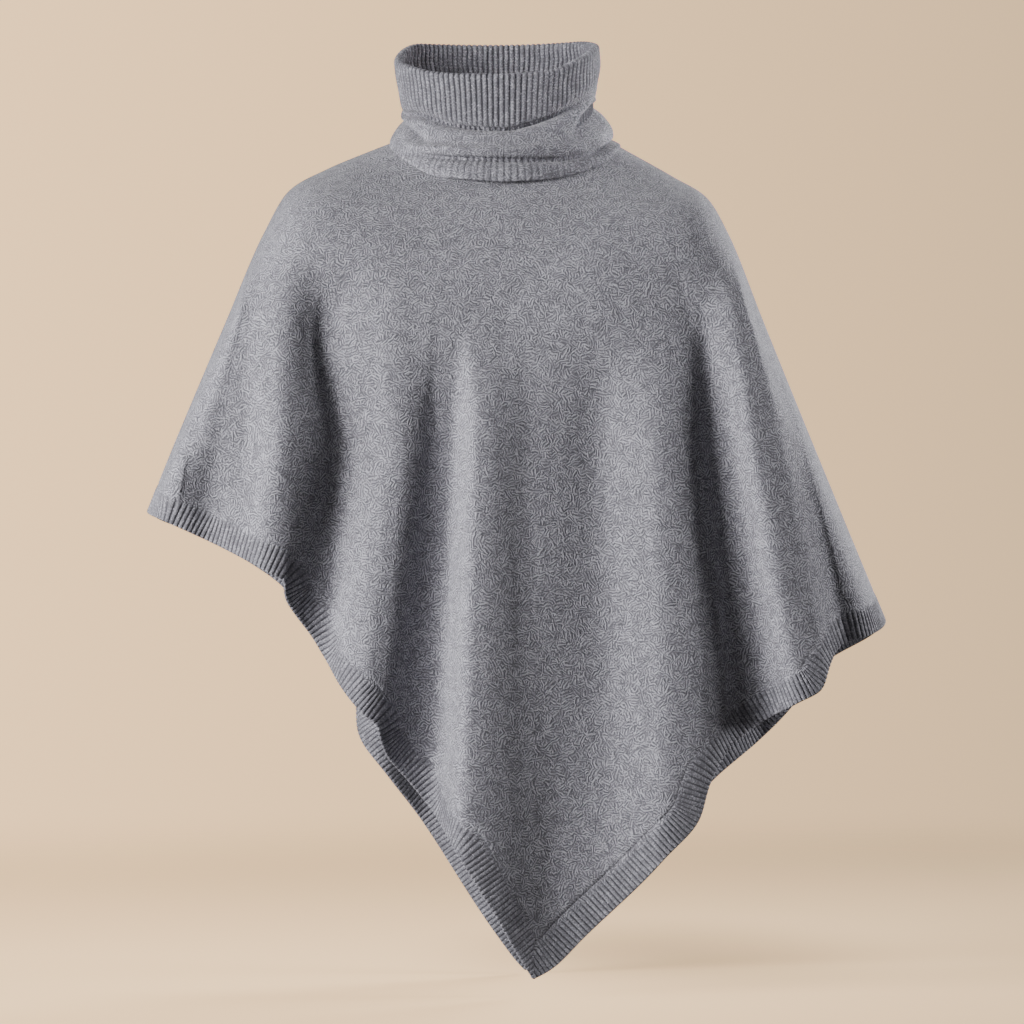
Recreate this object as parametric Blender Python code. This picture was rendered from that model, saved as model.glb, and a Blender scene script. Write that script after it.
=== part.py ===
"""A knitted poncho sweater with a slouched cowl collar, filled out as it hangs on its wearer.

Metres, +Z up, +X to the wearer's left hand, -Y to the front. The origin is the centre of the neck, level
with the neck points of the shoulders, where the wearer holds the garment up.

The pieces are those that a maker knits and links together: a front and a back panel, a cowl collar, and a
ribbed border along each of the four hem edges. Every piece is a wall of knit. Sizes below are in
millimetres and are turned to metres where a mesh is made.
"""

from collections import namedtuple

import bpy
import numpy as np

MM = 0.001

# ---------------------------------------------------------------- driving sizes, in millimetres
PANEL_THICKNESS = 2.4
BORDER_THICKNESS = 2.4
COLLAR_THICKNESS = 2.8
SEAM_GAP = 0.3
BORDER_DEPTH = 30.0
RIB_PITCH = 5.3
RIB_HEIGHT = 0.9
RIB_FAN = 45.0
COLLAR_RIBS = 104

# ---------------------------------------------------------------- how finely the solids are divided
PANEL_COLUMNS = 32
PANEL_ROWS = 14
ROW_SPREAD = 0.45
POINTS_PER_RIB = 2
RIBS_PER_INNER_FACE = 2
WALK_STEPS = 10
SEAM_BEND = 0.12

# ---------------------------------------------------------------- rings round the neck and shoulders
# A ring's reach from the middle to each side, and its height there. The body's rings go from the neck
# seam over the shoulders; the collar's go down its own cloth, from the top edge over two slouched rolls.
Ring = namedtuple("Ring", "name left right front back z_left z_right z_front z_back")
BODY_RINGS = (
    Ring("neck seam", 92, 90, 75, 71, 14, 16, -31, 11),
    Ring("collar bone", 133, 127, 93, 90, -1, -4, -45, -7),
    Ring("upper yoke", 178, 167, 109, 106, -19, -26, -64, -31),
    Ring("shoulder", 215, 201, 123, 118, -40, -47, -86, -60),
    Ring("upper arm", 240, 223, 136, 126, -82, -84, -114, -97),
)
COLLAR_RINGS = (
    Ring("top edge", 110, 93, 74, 73, 86, 102, 68, 110),
    Ring("tube foot", 104, 90, 65, 65, 38, 50, 20, 66),
    Ring("upper crease", 100, 88, 60, 60, 31, 41, 12, 57),
    Ring("roll top", 108, 98, 76, 72, 30, 36, 11, 51),
    Ring("roll belly", 114, 109, 91, 86, 18, 21, -4, 38),
    Ring("roll foot", 110, 106, 87, 83, 11, 12, -14, 30),
    Ring("lower crease", 105, 103, 80, 77, 12, 14, -14, 28),
    Ring("band top", 113, 112, 89, 84, 14, 15, -17, 27),
    Ring("band belly", 119, 118, 96, 91, 10, 11, -28, 20),
    Ring("band foot", 115, 115, 94, 89, 7, 8, -36.5, 14.5),
    Ring("band tuck", 105, 104, 85, 81, 12, 12.5, -35, 14.5),
    Ring("neck seam", 92, 90, 75, 71, 14.4, 16.4, -30.6, 11.4),
)

# ---------------------------------------------------------------- the body below the shoulders
# The plain section that the cloth hangs to: how far it reaches to each side, at each height.
Section = namedtuple("Section", "height left right front back")
SECTIONS = (
    Section(-170, 277, 257, 150, 134),
    Section(-250, 310, 290, 158, 138),
    Section(-360, 356, 333, 163, 140),
    Section(-467, 398, 379, 160, 136),
    Section(-600, 446, 432, 150, 128),
    Section(-840, 520, 520, 132, 112),
)

# How far down the cloth, from the neck seam at 0 to the hem at 1, each level lies.
RING_DOWNS = (0.0, 0.08, 0.16, 0.24, 0.32)
BUST_DOWN, MID_DOWN, HEM_DOWN = 0.42, 0.58, 1.0
BUST_HEIGHT, MID_HEIGHT = -170.0, -300.0

# Lines that run down the cloth from the neck to the hem, from the left side to the right: the crest of
# each flute, the edge where it turns in, the wall and the foot of each trough. across is the line's place
# in the panel's width, x its place in the front view at the bust, at mid height and at the hem, z its
# height at the hem, and out how far it stands proud of the plain section.
Line = namedtuple("Line", "name across x_bust x_mid x_hem z_hem out_bust out_mid out_hem")
FRONT_LINES = (
    Line("left side", 0.000, -277, -331, -356, -360, 0, 0, 0),
    Line("arm edge", 0.026, -269, -320, -342, -367, 22, 48, 30),
    Line("arm trough", 0.068, -261, -303, -317, -378, 34, 30, -6),
    Line("arm rise", 0.109, -251, -274, -289, -391, 20, 2, -27),
    Line("arm flute", 0.150, -239, -250, -260, -405, 12, -4, -16),
    Line("arm flute top", 0.183, -215, -220, -232, -420, 10, 15, -1),
    Line("arm flute edge", 0.205, -199, -203, -212, -431, 3, 9, -9),
    Line("first wall", 0.226, -191, -191, -213, -446, -2, 2, -16),
    Line("first trough", 0.243, -185, -179, -204, -462, -5, -7, -28),
    Line("first foot", 0.264, -178, -164, -189, -483, -10, -22, -42),
    Line("second flute rise", 0.288, -168, -155, -176, -506, -12, -25, -46),
    Line("second flute", 0.318, -148, -133, -159, -534, -7, -14, -8),
    Line("second flute top", 0.360, -109, -108, -137, -559, 3, -4, -1),
    Line("second flute edge", 0.384, -96, -99, -124, -569, 4, -5, -5),
    Line("second wall", 0.404, -84, -90, -121, -581, 4, -8, -8),
    Line("second trough", 0.424, -74, -80, -115, -599, 4, -14, -16),
    Line("second foot", 0.445, -65, -70, -99, -619, 2, -22, -30),
    Line("third flute", 0.476, -49, -51, -73, -652, 1, -25, -36),
    Line("third flute top", 0.514, -24, -29, -42, -700, 0, 9, 26),
    Line("third flute edge", 0.534, -10, -15, -20, -735, -1, 8, 23),
    Line("soft trough", 0.556, 3, -2, 4, -776, -2, 3, 15),
    Line("point", 0.582, 23, 23, 28, -818, -1, -7, 3),
    Line("middle swell", 0.602, 46, 39, 49, -806, -1, -9, -6),
    Line("middle hollow", 0.624, 69, 63, 75, -779, -1, -14, -7),
    Line("broad flute rise", 0.646, 94, 92, 100, -755, -1, -20, -5),
    Line("broad flute", 0.675, 123, 126, 131, -725, -2, -6, 0),
    Line("broad flute top", 0.710, 147, 149, 158, -696, -5, 0, 5),
    Line("broad flute edge", 0.740, 170, 174, 190, -662, -9, -6, -1),
    Line("fourth wall", 0.765, 180, 185, 199, -630, -11, -12, -6),
    Line("fourth trough", 0.788, 187, 195, 210, -607, -11, -18, -17),
    Line("fourth foot", 0.812, 194, 205, 225, -588, -9, -24, -34),
    Line("fourth flute", 0.840, 206, 222, 254, -566, 0, -18, -42),
    Line("fourth flute top", 0.868, 222, 241, 285, -548, 14, 8, -9),
    Line("fourth flute edge", 0.896, 231, 264, 310, -535, 20, 9, -9),
    Line("fifth wall", 0.916, 238, 275, 317, -513, 28, 6, -18),
    Line("fifth trough", 0.936, 244, 285, 331, -491, 12, 4, -36),
    Line("arm fold", 0.970, 251, 300, 356, -484, 4, 14, -18),
    Line("right side", 1.000, 257, 311, 379, -467, 0, 0, 0),
)
BACK_LINES = (
    Line("left side", 0.000, -277, -331, -356, -360, 0, 0, 0),
    Line("arm trough", 0.070, -259, -293, -312, -385, 3, -2, -9),
    Line("arm flute", 0.150, -230, -250, -268, -411, 4, 10, 14),
    Line("arm flute edge", 0.220, -198, -210, -224, -444, 2, 6, 10),
    Line("first trough", 0.262, -180, -189, -210, -470, -3, -14, -22),
    Line("first foot", 0.300, -160, -172, -196, -492, -3, -12, -19),
    Line("second flute", 0.340, -138, -152, -180, -513, 1, 2, 4),
    Line("second flute top", 0.372, -122, -137, -165, -540, 2, 10, 14),
    Line("second flute edge", 0.400, -106, -121, -151, -561, 1, 8, 12),
    Line("second wall", 0.417, -98, -114, -151, -588, 0, 1, 0),
    Line("second trough", 0.437, -89, -104, -129, -620, -1, -10, -16),
    Line("third flute", 0.500, -48, -54, -77, -691, 1, 6, 10),
    Line("soft trough", 0.555, -10, -8, -8, -795, 0, -5, -9),
    Line("point", 0.582, 12, 14, 20, -832, 0, -2, -4),
    Line("broad flute", 0.668, 84, 98, 136, -735, 1, 8, 12),
    Line("broad flute edge", 0.738, 144, 156, 188, -690, 1, 6, 12),
    Line("fourth wall", 0.757, 154, 166, 196, -663, -1, -2, -2),
    Line("fourth trough", 0.780, 165, 179, 210, -638, -3, -15, -22),
    Line("fourth rise", 0.815, 181, 200, 235, -616, -1, -8, -12),
    Line("fourth flute", 0.855, 200, 224, 266, -592, 2, 9, 14),
    Line("fourth flute edge", 0.900, 222, 252, 302, -553, 1, 4, 10),
    Line("fifth trough", 0.935, 237, 272, 324, -517, -1, -10, -16),
    Line("right side", 1.000, 257, 311, 379, -467, 0, 0, 0),
)

# How flat the section runs across the chest at each level, before it turns in round the arms.
FLATNESS = (0.0, 0.0, 0.15, 0.35, 0.5, 0.5, 0.5, 0.45)

# The lines are read at this many places across, and rounded over this share of the panel's width.
DENSE_PLACES = 801
ROUNDING = 0.006


# ---------------------------------------------------------------- curves through tables
def place_between(at, knots):
    """For each place, the knot before it, how far on it is to the next one, and their distance."""
    i = np.clip(np.searchsorted(knots, at, side="right") - 1, 0, len(knots) - 2)
    width = np.diff(knots)[i]
    return i, (at - np.asarray(knots)[i]) / width, width


def monotone_slopes(knots, values):
    """A slope for each knot, the harmonic mean of those beside it, and zero at a crest or a dip."""
    step = np.diff(knots).reshape(-1, *(1,) * (values.ndim - 1))
    rise = np.diff(values, axis=0) / step
    before, after = rise[:-1], rise[1:]
    both = np.where(before * after > 0, before + after, np.inf)
    return np.concatenate([rise[:1], 2 * before * after / both, rise[-1:]])


def cubic(t, width, start, end, slope_start, slope_end):
    """The cubic from one value and slope to the next, at the shares t of the way."""
    t = t.reshape(-1, *(1,) * (start.ndim - 1))
    width = width.reshape(t.shape)
    return (
        (1 + 2 * t) * (1 - t) ** 2 * start
        + t * (1 - t) ** 2 * width * slope_start
        + t**2 * (3 - 2 * t) * end
        + t**2 * (t - 1) * width * slope_end
    )


def smooth_curve(at, knots, values):
    """Rows of values at the places at, on a curve through the knots that never overshoots a row."""
    values = np.asarray(values, float)
    i, t, width = place_between(np.asarray(at, float), knots)
    slopes = monotone_slopes(knots, values)
    return cubic(t, width, values[i], values[i + 1], slopes[i], slopes[i + 1])


def ring_points(sizes, cos, sin):
    """Points of rings in the direction (cos, sin), from sizes that end in four reaches and four heights."""
    left, right, front, back, z_left, z_right, z_front, z_back = np.moveaxis(sizes, -1, 0)
    x = np.where(cos < 0, left, right) * cos
    y = np.where(sin < 0, front, back) * sin
    z = (z_left + z_right) / 2 * cos**2 + (z_front + z_back) / 2 * sin**2
    z = z + (z_right - z_left) / 2 * cos + (z_back - z_front) / 2 * sin
    return np.stack([x, y, z], axis=-1)


def ring_sizes(rings):
    return np.array([ring[1:] for ring in rings], float)


def unit(vectors):
    return vectors / np.maximum(np.linalg.norm(vectors, axis=-1, keepdims=True), 1e-12)


def dot(first, second):
    return (first * second).sum(axis=-1)


def running_mean(rows, reach):
    """Each row's mean with the rows up to reach before and after it."""
    padded = np.concatenate([rows[:1].repeat(reach, 0), rows, rows[-1:].repeat(reach, 0)])
    total = np.cumsum(np.concatenate([np.zeros_like(rows[:1]), padded]), axis=0)
    return (total[2 * reach + 1 :] - total[: -2 * reach - 1]) / (2 * reach + 1)


def run_lengths(line):
    """The length along a line of points, from its first point to each one."""
    return np.concatenate([[0], np.cumsum(np.linalg.norm(np.diff(line, axis=0), axis=1))])


# ---------------------------------------------------------------- the panels' surfaces
class Panel:
    """The outer surface of the front or the back, from across 0 to 1 and from down 0 to 1.

    Each point is read from levels down the cloth. A level holds, for each place across: the angle from
    the middle, the plain section's reach to the side and its depth, the height, and how far it is out."""

    def __init__(self, lines, facing):
        self.facing = facing
        self.knots = np.array([line.across for line in lines])
        self.point = next(i for i, line in enumerate(lines) if line.name == "point")
        self.point_across = lines[self.point].across
        self.levels = (*RING_DOWNS, BUST_DOWN, MID_DOWN, HEM_DOWN)
        self.table = self._rounded(np.stack([self._line_levels(line) for line in lines]))
        self.table_slopes = np.gradient(self.table, 1 / (DENSE_PLACES - 1), axis=0)

    def _line_levels(self, line):
        """One line's values at each level."""
        turn = (2 * line.across - 1) * np.pi / 2
        rings = ring_sizes(BODY_RINGS)
        heights = ring_points(rings, np.sin(turn), self.facing * np.cos(turn))[:, 2]
        side = 0 if turn < 0 else 1
        depth = 2 if self.facing < 0 else 3
        rows = [(turn, ring[side], ring[depth], height, 0.0) for ring, height in zip(rings, heights)]
        low_rows = (
            (line.x_bust, BUST_HEIGHT, line.out_bust),
            (line.x_mid, MID_HEIGHT, line.out_mid),
            (line.x_hem, line.z_hem, line.out_hem),
        )
        sections = np.array(SECTIONS)[::-1]
        for x, height, out in low_rows:
            section = smooth_curve(np.array([height]), sections[:, 0], sections[:, 1:])[0]
            reach = section[0 if x < 0 else 1]
            share = np.sign(x) if line.across in (0.0, 1.0) else x / reach
            rows.append((np.arcsin(share), reach, section[depth], height, out))
        return np.column_stack([np.array(rows, float), FLATNESS])

    def _rounded(self, lines):
        """The levels at evenly spaced places across, from the lines' own, with the edges rounded.

        The hem keeps a corner at its point until the rounding, and the sides stay where they are."""
        slopes_in = monotone_slopes(self.knots, lines)
        slopes_out = slopes_in.copy()
        rise = np.diff(lines[:, -1, 3]) / np.diff(self.knots)
        slopes_in[self.point, -1, 3] = rise[self.point - 1]
        slopes_out[self.point, -1, 3] = rise[self.point]
        i, t, width = place_between(np.linspace(0, 1, DENSE_PLACES), self.knots)
        dense = cubic(t, width, lines[i], lines[i + 1], slopes_out[i], slopes_in[i + 1])
        reach = int(4 * ROUNDING * DENSE_PLACES)
        weights = np.exp(-0.5 * (np.arange(-reach, reach + 1) / (ROUNDING * DENSE_PLACES)) ** 2)
        before = 2 * dense[:1] - dense[reach:0:-1]
        after = 2 * dense[-1:] - dense[-2 : -reach - 2 : -1]
        padded = np.concatenate([before, dense, after])
        spread = [padded[k : k + DENSE_PLACES] * weight for k, weight in enumerate(weights / weights.sum())]
        return np.sum(spread, axis=0)

    def points(self, across, down):
        """Points of the surface in millimetres, for arrays of the same shape."""
        shape = np.shape(across)
        across, down = np.ravel(across), np.ravel(down)
        places = np.linspace(0, 1, DENSE_PLACES)
        i, t, width = place_between(across, places)
        ends = self.table[i], self.table[i + 1], self.table_slopes[i], self.table_slopes[i + 1]
        levels = np.moveaxis(cubic(t, width, *ends), 1, 0)
        slopes = monotone_slopes(self.levels, levels)
        k, t, width = place_between(down, self.levels)
        own = np.arange(len(down))
        ends = levels[k, own], levels[k + 1, own], slopes[k, own], slopes[k + 1, own]
        turn, reach, depth, height, out, flat = cubic(t, width, *ends).T
        square = np.sin(turn) ** 2
        swell = 1 + flat * square * (1 + square * (0.75 + 0.625 * square))
        y = self.facing * (depth * np.cos(turn) * swell + out)
        return np.stack([reach * np.sin(turn), y, height], axis=-1).reshape(*shape, 3)

    def slopes(self, across, down):
        """The surface's change with across and with down, by small steps to both sides."""
        step = 1e-4
        by_across = (self.points(across + step, down) - self.points(across - step, down)) / (2 * step)
        by_down = (self.points(across, down + step) - self.points(across, down - step)) / (2 * step)
        return by_across, by_down

    def outward(self, across, down):
        """Unit normals that point out of the garment."""
        return unit(np.cross(*self.slopes(across, down))) * self.facing


# ---------------------------------------------------------------- meshes
Row = namedtuple("Row", "points places")


def strip(first, first_places, second, second_places, second_leads=False):
    """Triangles between two rows of vertices, each with its places along the row from 0 to 1.

    Where both rows have a vertex at the same place, the strip goes on along the first row, or along the
    second one if that leads."""
    faces = []
    i = j = 0
    while i < len(first) - 1 or j < len(second) - 1:
        next_first = first_places[i] + first_places[i + 1] if i < len(first) - 1 else np.inf
        next_second = second_places[j] + second_places[j + 1] if j < len(second) - 1 else np.inf
        if next_first < next_second or (next_first == next_second and not second_leads):
            faces.append((first[i], second[j], first[i + 1]))
            i += 1
        else:
            faces.append((first[i], second[j], second[j + 1]))
            j += 1
    return faces


def wall(outer_rows, inner_rows, wraps):
    """Vertices and faces of a closed wall, from its outer and its inner rows, both from top to bottom.

    Each row runs from left to right as seen from outside, and may have its own number of points. A wall
    that wraps joins the ends of its rows, and any other is closed at both ends."""
    rows = [*outer_rows, *inner_rows[::-1]]
    starts = np.cumsum([0] + [len(row.points) for row in rows])
    numbers = [list(range(start, start + len(row.points))) for start, row in zip(starts, rows)]
    places = [list(row.places) for row in rows]
    if wraps:
        numbers = [row + row[:1] for row in numbers]
        places = [row + [1.0] for row in places]
    faces = []
    for k in range(len(rows)):
        following = (k + 1) % len(rows)
        faces += strip(numbers[k], places[k], numbers[following], places[following], following == 0)
    if not wraps:
        count = len(outer_rows)
        shares = [np.linspace(0, 1, count), np.linspace(0, 1, len(inner_rows))]
        for end, turned in ((0, False), (-1, True)):
            outside = [row[end] for row in numbers[:count]]
            inside = [row[end] for row in numbers[count:]][::-1]
            side = strip(outside, shares[0], inside, shares[1])
            faces += [face[::-1] for face in side] if turned else side
    return np.concatenate([row.points for row in rows]), faces


def add_piece(name, points, faces, material):
    """Makes the mesh object of one piece from points in millimetres."""
    mesh = bpy.data.meshes.new(name)
    mesh.from_pydata((points * MM).tolist(), [], faces)
    mesh.materials.append(material)
    mesh.shade_smooth()
    mesh.set_sharp_from_angle(angle=np.radians(50))
    piece = bpy.data.objects.new(name, mesh)
    bpy.context.scene.collection.objects.link(piece)


def knit_material(name, colour, roughness):
    """A matt wool material of one colour."""
    material = bpy.data.materials.new(name)
    material.use_nodes = True
    shader = material.node_tree.nodes["Principled BSDF"]
    shader.inputs["Base Color"].default_value = (*colour, 1.0)
    shader.inputs["Roughness"].default_value = roughness
    shader.inputs["Metallic"].default_value = 0.0
    return material


# ---------------------------------------------------------------- front and back
class Hem:
    """The ribbed border of one hem edge: walks over the cloth from the hem, square to it, rib by rib."""

    def __init__(self, panel, start, end):
        self.panel = panel
        self.start, self.end = start, end
        self.group = POINTS_PER_RIB * RIBS_PER_INNER_FACE
        self.stations, self.from_side = self._stations()
        self.depths = np.append(np.linspace(0, BORDER_DEPTH, WALK_STEPS + 1), BORDER_DEPTH + SEAM_GAP)
        self.across, self.down = self._walk()
        self.coarse = self._coarse_stations()

    def _stations(self):
        """Places across, evenly spaced along the hem: one on each rib's top and one in each furrow.

        With them, how far along the hem each one is from the side seam."""
        fine = np.linspace(self.start, self.end, 2000)
        length = run_lengths(self.panel.points(fine, np.ones_like(fine)))
        count = self.group * round(length[-1] / RIB_PITCH * POINTS_PER_RIB / self.group)
        even = np.linspace(0, length[-1], count + 1)
        return np.interp(even, length, fine), even if self.start == 0.0 else length[-1] - even

    def _walk(self):
        """Places across and down at each depth, for every station.

        The ribs start along the side seam there, and fan out until they are square to the hem."""
        across, down = self.stations, np.ones_like(self.stations)
        by_across, by_down = self.panel.slopes(across, down)
        normal = unit(np.cross(by_across, by_down))
        square = unit(running_mean(unit(np.cross(normal, by_across)), self.group))
        fan = np.clip(1 - self.from_side / RIB_FAN, 0, 1)[:, None]
        heading = unit(square * (1 - fan) + unit(by_down) * fan)
        walked = [(across, down)]
        for step in np.diff(self.depths):
            by_across, by_down = self.panel.slopes(across, down)
            normal = unit(np.cross(by_across, by_down))
            heading = unit(heading - dot(heading, normal)[:, None] * normal)
            aa, ab, bb = dot(by_across, by_across), dot(by_across, by_down), dot(by_down, by_down)
            ha, hb = dot(heading, by_across), dot(heading, by_down)
            area = aa * bb - ab**2
            across = np.clip(across - step * (ha * bb - hb * ab) / area, 0, 1)
            down = down - step * (hb * aa - ha * ab) / area
            walked.append((across, down))
        return np.array([row[0] for row in walked]), np.array([row[1] for row in walked])

    def _coarse_stations(self):
        """The stations that the plain faces use: one every second rib, and more where the seam bends.

        The stations beside the point are kept too, so that the corner above it is well placed."""
        top = self.panel.points(self.across[-1], self.down[-1])
        numbers = np.arange(len(top))
        kept = numbers % self.group == 0
        for step in (self.group // 2, 1):
            chord = (top[: -2 * step] + top[2 * step :]) / 2
            bend = np.linalg.norm(top[step:-step] - chord, axis=1)
            kept[step:-step] |= (numbers[step:-step] % step == 0) & (bend > SEAM_BEND * step)
        whole = np.flatnonzero(self._reach() >= BORDER_DEPTH)
        kept[whole[-2:] if self.start == 0.0 else whole[:2]] = True
        return np.flatnonzero(kept)

    def _reach(self):
        """How deep each walk goes before it meets the mitre above the hem's point, at most the border."""
        mitre = self.panel.point_across
        side = np.sign((self.start + self.end) / 2 - mitre)
        inside = (self.across - mitre) * side
        reach = np.full(len(self.stations), BORDER_DEPTH)
        for i in np.flatnonzero((inside[:-1] < 0).any(axis=0)):
            k = max(1, int(np.argmax(inside[:, i] < 0)))
            share = np.clip(inside[k - 1, i] / (inside[k - 1, i] - inside[k, i] + 1e-12), 0, 1)
            reach[i] = self.depths[k - 1] + share * (self.depths[k] - self.depths[k - 1])
        return reach

    def upper_edge(self):
        """Places across and down on the panel's own lower edge, one seam gap above this border."""
        whole = self.coarse[self._reach()[self.coarse] >= BORDER_DEPTH]
        return self.across[-1, whole], self.down[-1, whole]

    def build(self, name, material):
        """The border's solid: ribs raised square to the hem, over a plain inner face."""
        panel = self.panel
        by_across, _ = panel.slopes(np.array([panel.point_across]), np.array([1.0]))
        half_gap = SEAM_GAP / 2 / np.linalg.norm(by_across)
        reach = np.maximum(self._reach(), 0.05 * BORDER_DEPTH)
        count = len(self.stations)
        across, down = np.empty((2, count)), np.ones((2, count))
        across[1] = self.stations
        for i in range(count):
            across[0, i] = np.interp(reach[i], self.depths, self.across[:, i])
            down[0, i] = np.interp(reach[i], self.depths, self.down[:, i])
        if self.start < panel.point_across:
            across = np.minimum(across, panel.point_across - half_gap)
        else:
            across = np.maximum(across, panel.point_across + half_gap)
        surface, normal = panel.points(across, down), panel.outward(across, down)
        rib = np.where(np.arange(count) % POINTS_PER_RIB, 0.5, -0.5)[:, None] * RIB_HEIGHT
        outer = surface + normal * rib
        inner = (surface - normal * BORDER_THICKNESS)[:, self.coarse]
        part_at_sides(outer, inner, panel.facing, self.start == 0.0, self.end == 1.0)
        places = np.linspace(0, 1, count)
        outer_rows = [Row(row, places) for row in outer]
        inner_rows = [Row(row, places[self.coarse]) for row in inner]
        add_piece(name, *wall(*seen_from_outside(outer_rows, inner_rows, panel.facing), wraps=False), material)


def part_at_sides(outer, inner, facing, at_left, at_right):
    """Sets a wall's end flat, half a seam gap from the plane of the side seams."""
    for end, on_side in ((0, at_left), (-1, at_right)):
        if on_side:
            outer[..., end, 1] = facing * SEAM_GAP / 2
            inner[..., end, 1] = facing * SEAM_GAP / 2


def seen_from_outside(outer_rows, inner_rows, facing):
    """Turns the rows of a back piece round, so that they run from left to right as seen from outside."""
    if facing < 0:
        return outer_rows, inner_rows
    return [[Row(row.points[::-1], 1 - row.places[::-1]) for row in rows] for rows in (outer_rows, inner_rows)]


def panel_columns(knots):
    """Places across with one column on each line, and any to spare shared out between them by width."""
    spare = max(PANEL_COLUMNS - len(knots), 0)
    shares = np.diff(knots) / (knots[-1] - knots[0]) * spare
    extra = np.floor(shares).astype(int)
    extra[np.argsort(extra - shares)[: spare - extra.sum()]] += 1
    spans = [np.linspace(a, b, n + 1, endpoint=False) for a, b, n in zip(knots[:-1], knots[1:], extra)]
    return np.concatenate([*spans, knots[-1:]])


def lower_edge(panel, hems):
    """Places across and down along the panel's lower edge, with a corner above the hem's point."""
    sides = [hem.upper_edge() for hem in hems]
    corner = []
    for (across, down), near, far in ((sides[0], -1, -2), (sides[1], 0, 1)):
        slope = (down[near] - down[far]) / (across[near] - across[far])
        corner.append(down[near] + slope * (panel.point_across - across[near]))
    across = np.concatenate([sides[0][0], [panel.point_across], sides[1][0]])
    down = np.concatenate([sides[0][1], [min(corner)], sides[1][1]])
    return across, down


def build_panel(name, panel, hems, material):
    """The front or the back: plain knit from the neck seam to the upper edges of its two borders."""
    edge_across, edge_down = lower_edge(panel, hems)
    columns = panel_columns(panel.knots)
    low = np.interp(columns, edge_across, edge_down)
    outer_rows, inner_rows = [], []
    for row in np.linspace(0, 1, PANEL_ROWS):
        share = row * (1 - ROW_SPREAD) + row**2 * ROW_SPREAD
        on_edge = row == 1.0
        across = edge_across if on_edge else columns
        down = edge_down if on_edge else share * low
        surface = panel.points(across, down)
        inner = surface - panel.outward(across, down) * PANEL_THICKNESS
        part_at_sides(surface, inner, panel.facing, at_left=True, at_right=True)
        outer_rows.append(Row(surface, across))
        inner_rows.append(Row(inner, across))
    add_piece(name, *wall(*seen_from_outside(outer_rows, inner_rows, panel.facing), wraps=False), material)


# ---------------------------------------------------------------- the collar
def even_turns(sizes, count):
    """Angles evenly spaced along one ring, anticlockwise from its right side."""
    fine = np.linspace(0, 2 * np.pi, 2001)
    length = run_lengths(ring_points(sizes, np.cos(fine), np.sin(fine)))
    return np.interp(np.arange(count) / count * length[-1], length, fine)


def build_collar(material):
    """The cowl: a ribbed tube, slouched into two rolls above the neck seam, over a plain inside."""
    sizes = ring_sizes(COLLAR_RINGS)
    group = POINTS_PER_RIB * RIBS_PER_INNER_FACE
    turns = even_turns(sizes[0], COLLAR_RIBS * POINTS_PER_RIB)
    surface = ring_points(sizes[:, None, :], np.cos(turns), np.sin(turns))
    by_turn = np.roll(surface, -1, axis=1) - np.roll(surface, 1, axis=1)
    normal = unit(np.cross(np.gradient(surface, axis=0), by_turn))
    rib = np.where(np.arange(len(turns)) % POINTS_PER_RIB, 0.5, -0.5)[:, None] * RIB_HEIGHT
    fade = np.ones((len(sizes), 1, 1))
    fade[-1] = 0.0
    outer = surface + normal * rib * fade
    inner = (surface - normal * COLLAR_THICKNESS)[:, ::group]
    places = np.arange(len(turns)) / len(turns)
    outer_rows = [Row(row, places) for row in outer]
    inner_rows = [Row(row, places[::group]) for row in inner]
    add_piece("collar", *wall(outer_rows, inner_rows, wraps=True), material)


# ---------------------------------------------------------------- the garment
def main():
    for old in list(bpy.data.objects):
        bpy.data.objects.remove(old)
    jersey = knit_material("grey_felted_jersey", (0.20, 0.20, 0.215), 0.95)
    rib_knit = knit_material("grey_rib_knit", (0.19, 0.19, 0.205), 0.92)
    for name, lines, facing in (("front", FRONT_LINES, -1.0), ("back", BACK_LINES, 1.0)):
        panel = Panel(lines, facing)
        left = Hem(panel, 0.0, panel.point_across)
        right = Hem(panel, panel.point_across, 1.0)
        build_panel(f"{name}_panel", panel, (left, right), jersey)
        left.build(f"{name}_border_left", rib_knit)
        right.build(f"{name}_border_right", rib_knit)
    build_collar(rib_knit)


main()
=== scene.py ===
"""A knitted poncho sweater with a slouched cowl collar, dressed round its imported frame.

Metres, +Z up, -Y to the front. Sizes in the classes are in millimetres and are turned to metres where a
mesh is made. Every cloth surface is a function of two places, across from one side seam to the other and
down from the neck seam to the hem, worked out for whole grids at once.
"""

import logging
from dataclasses import dataclass, field, fields
from enum import Enum
from functools import partial

import bpy
import numpy as np
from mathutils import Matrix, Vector


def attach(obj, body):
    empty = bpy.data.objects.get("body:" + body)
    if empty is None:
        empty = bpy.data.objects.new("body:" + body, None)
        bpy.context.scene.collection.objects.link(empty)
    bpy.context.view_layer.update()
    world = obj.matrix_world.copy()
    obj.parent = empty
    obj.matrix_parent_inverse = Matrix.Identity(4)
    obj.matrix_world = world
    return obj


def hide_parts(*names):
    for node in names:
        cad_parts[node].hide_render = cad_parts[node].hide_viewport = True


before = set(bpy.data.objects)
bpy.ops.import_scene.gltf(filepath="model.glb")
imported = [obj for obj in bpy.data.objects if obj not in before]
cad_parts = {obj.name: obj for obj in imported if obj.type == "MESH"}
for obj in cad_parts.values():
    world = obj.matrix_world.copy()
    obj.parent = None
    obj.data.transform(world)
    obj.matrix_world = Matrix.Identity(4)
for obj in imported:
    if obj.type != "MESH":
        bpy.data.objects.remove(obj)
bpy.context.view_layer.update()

MM = 0.001
CLOTH_MAP = "cloth_mm"
FELTING = "felting"
RIB_MAP_PITCH = 5.3
RIB_ROUNDNESS = 2.2
RIB_MIDDLE = 0.55
Array = np.ndarray
log = logging.getLogger("poncho")


class Facing(Enum):
    """Which way a body panel looks, as the sign of its outward direction along Y."""

    FRONT = -1.0
    BACK = 1.0


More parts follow.
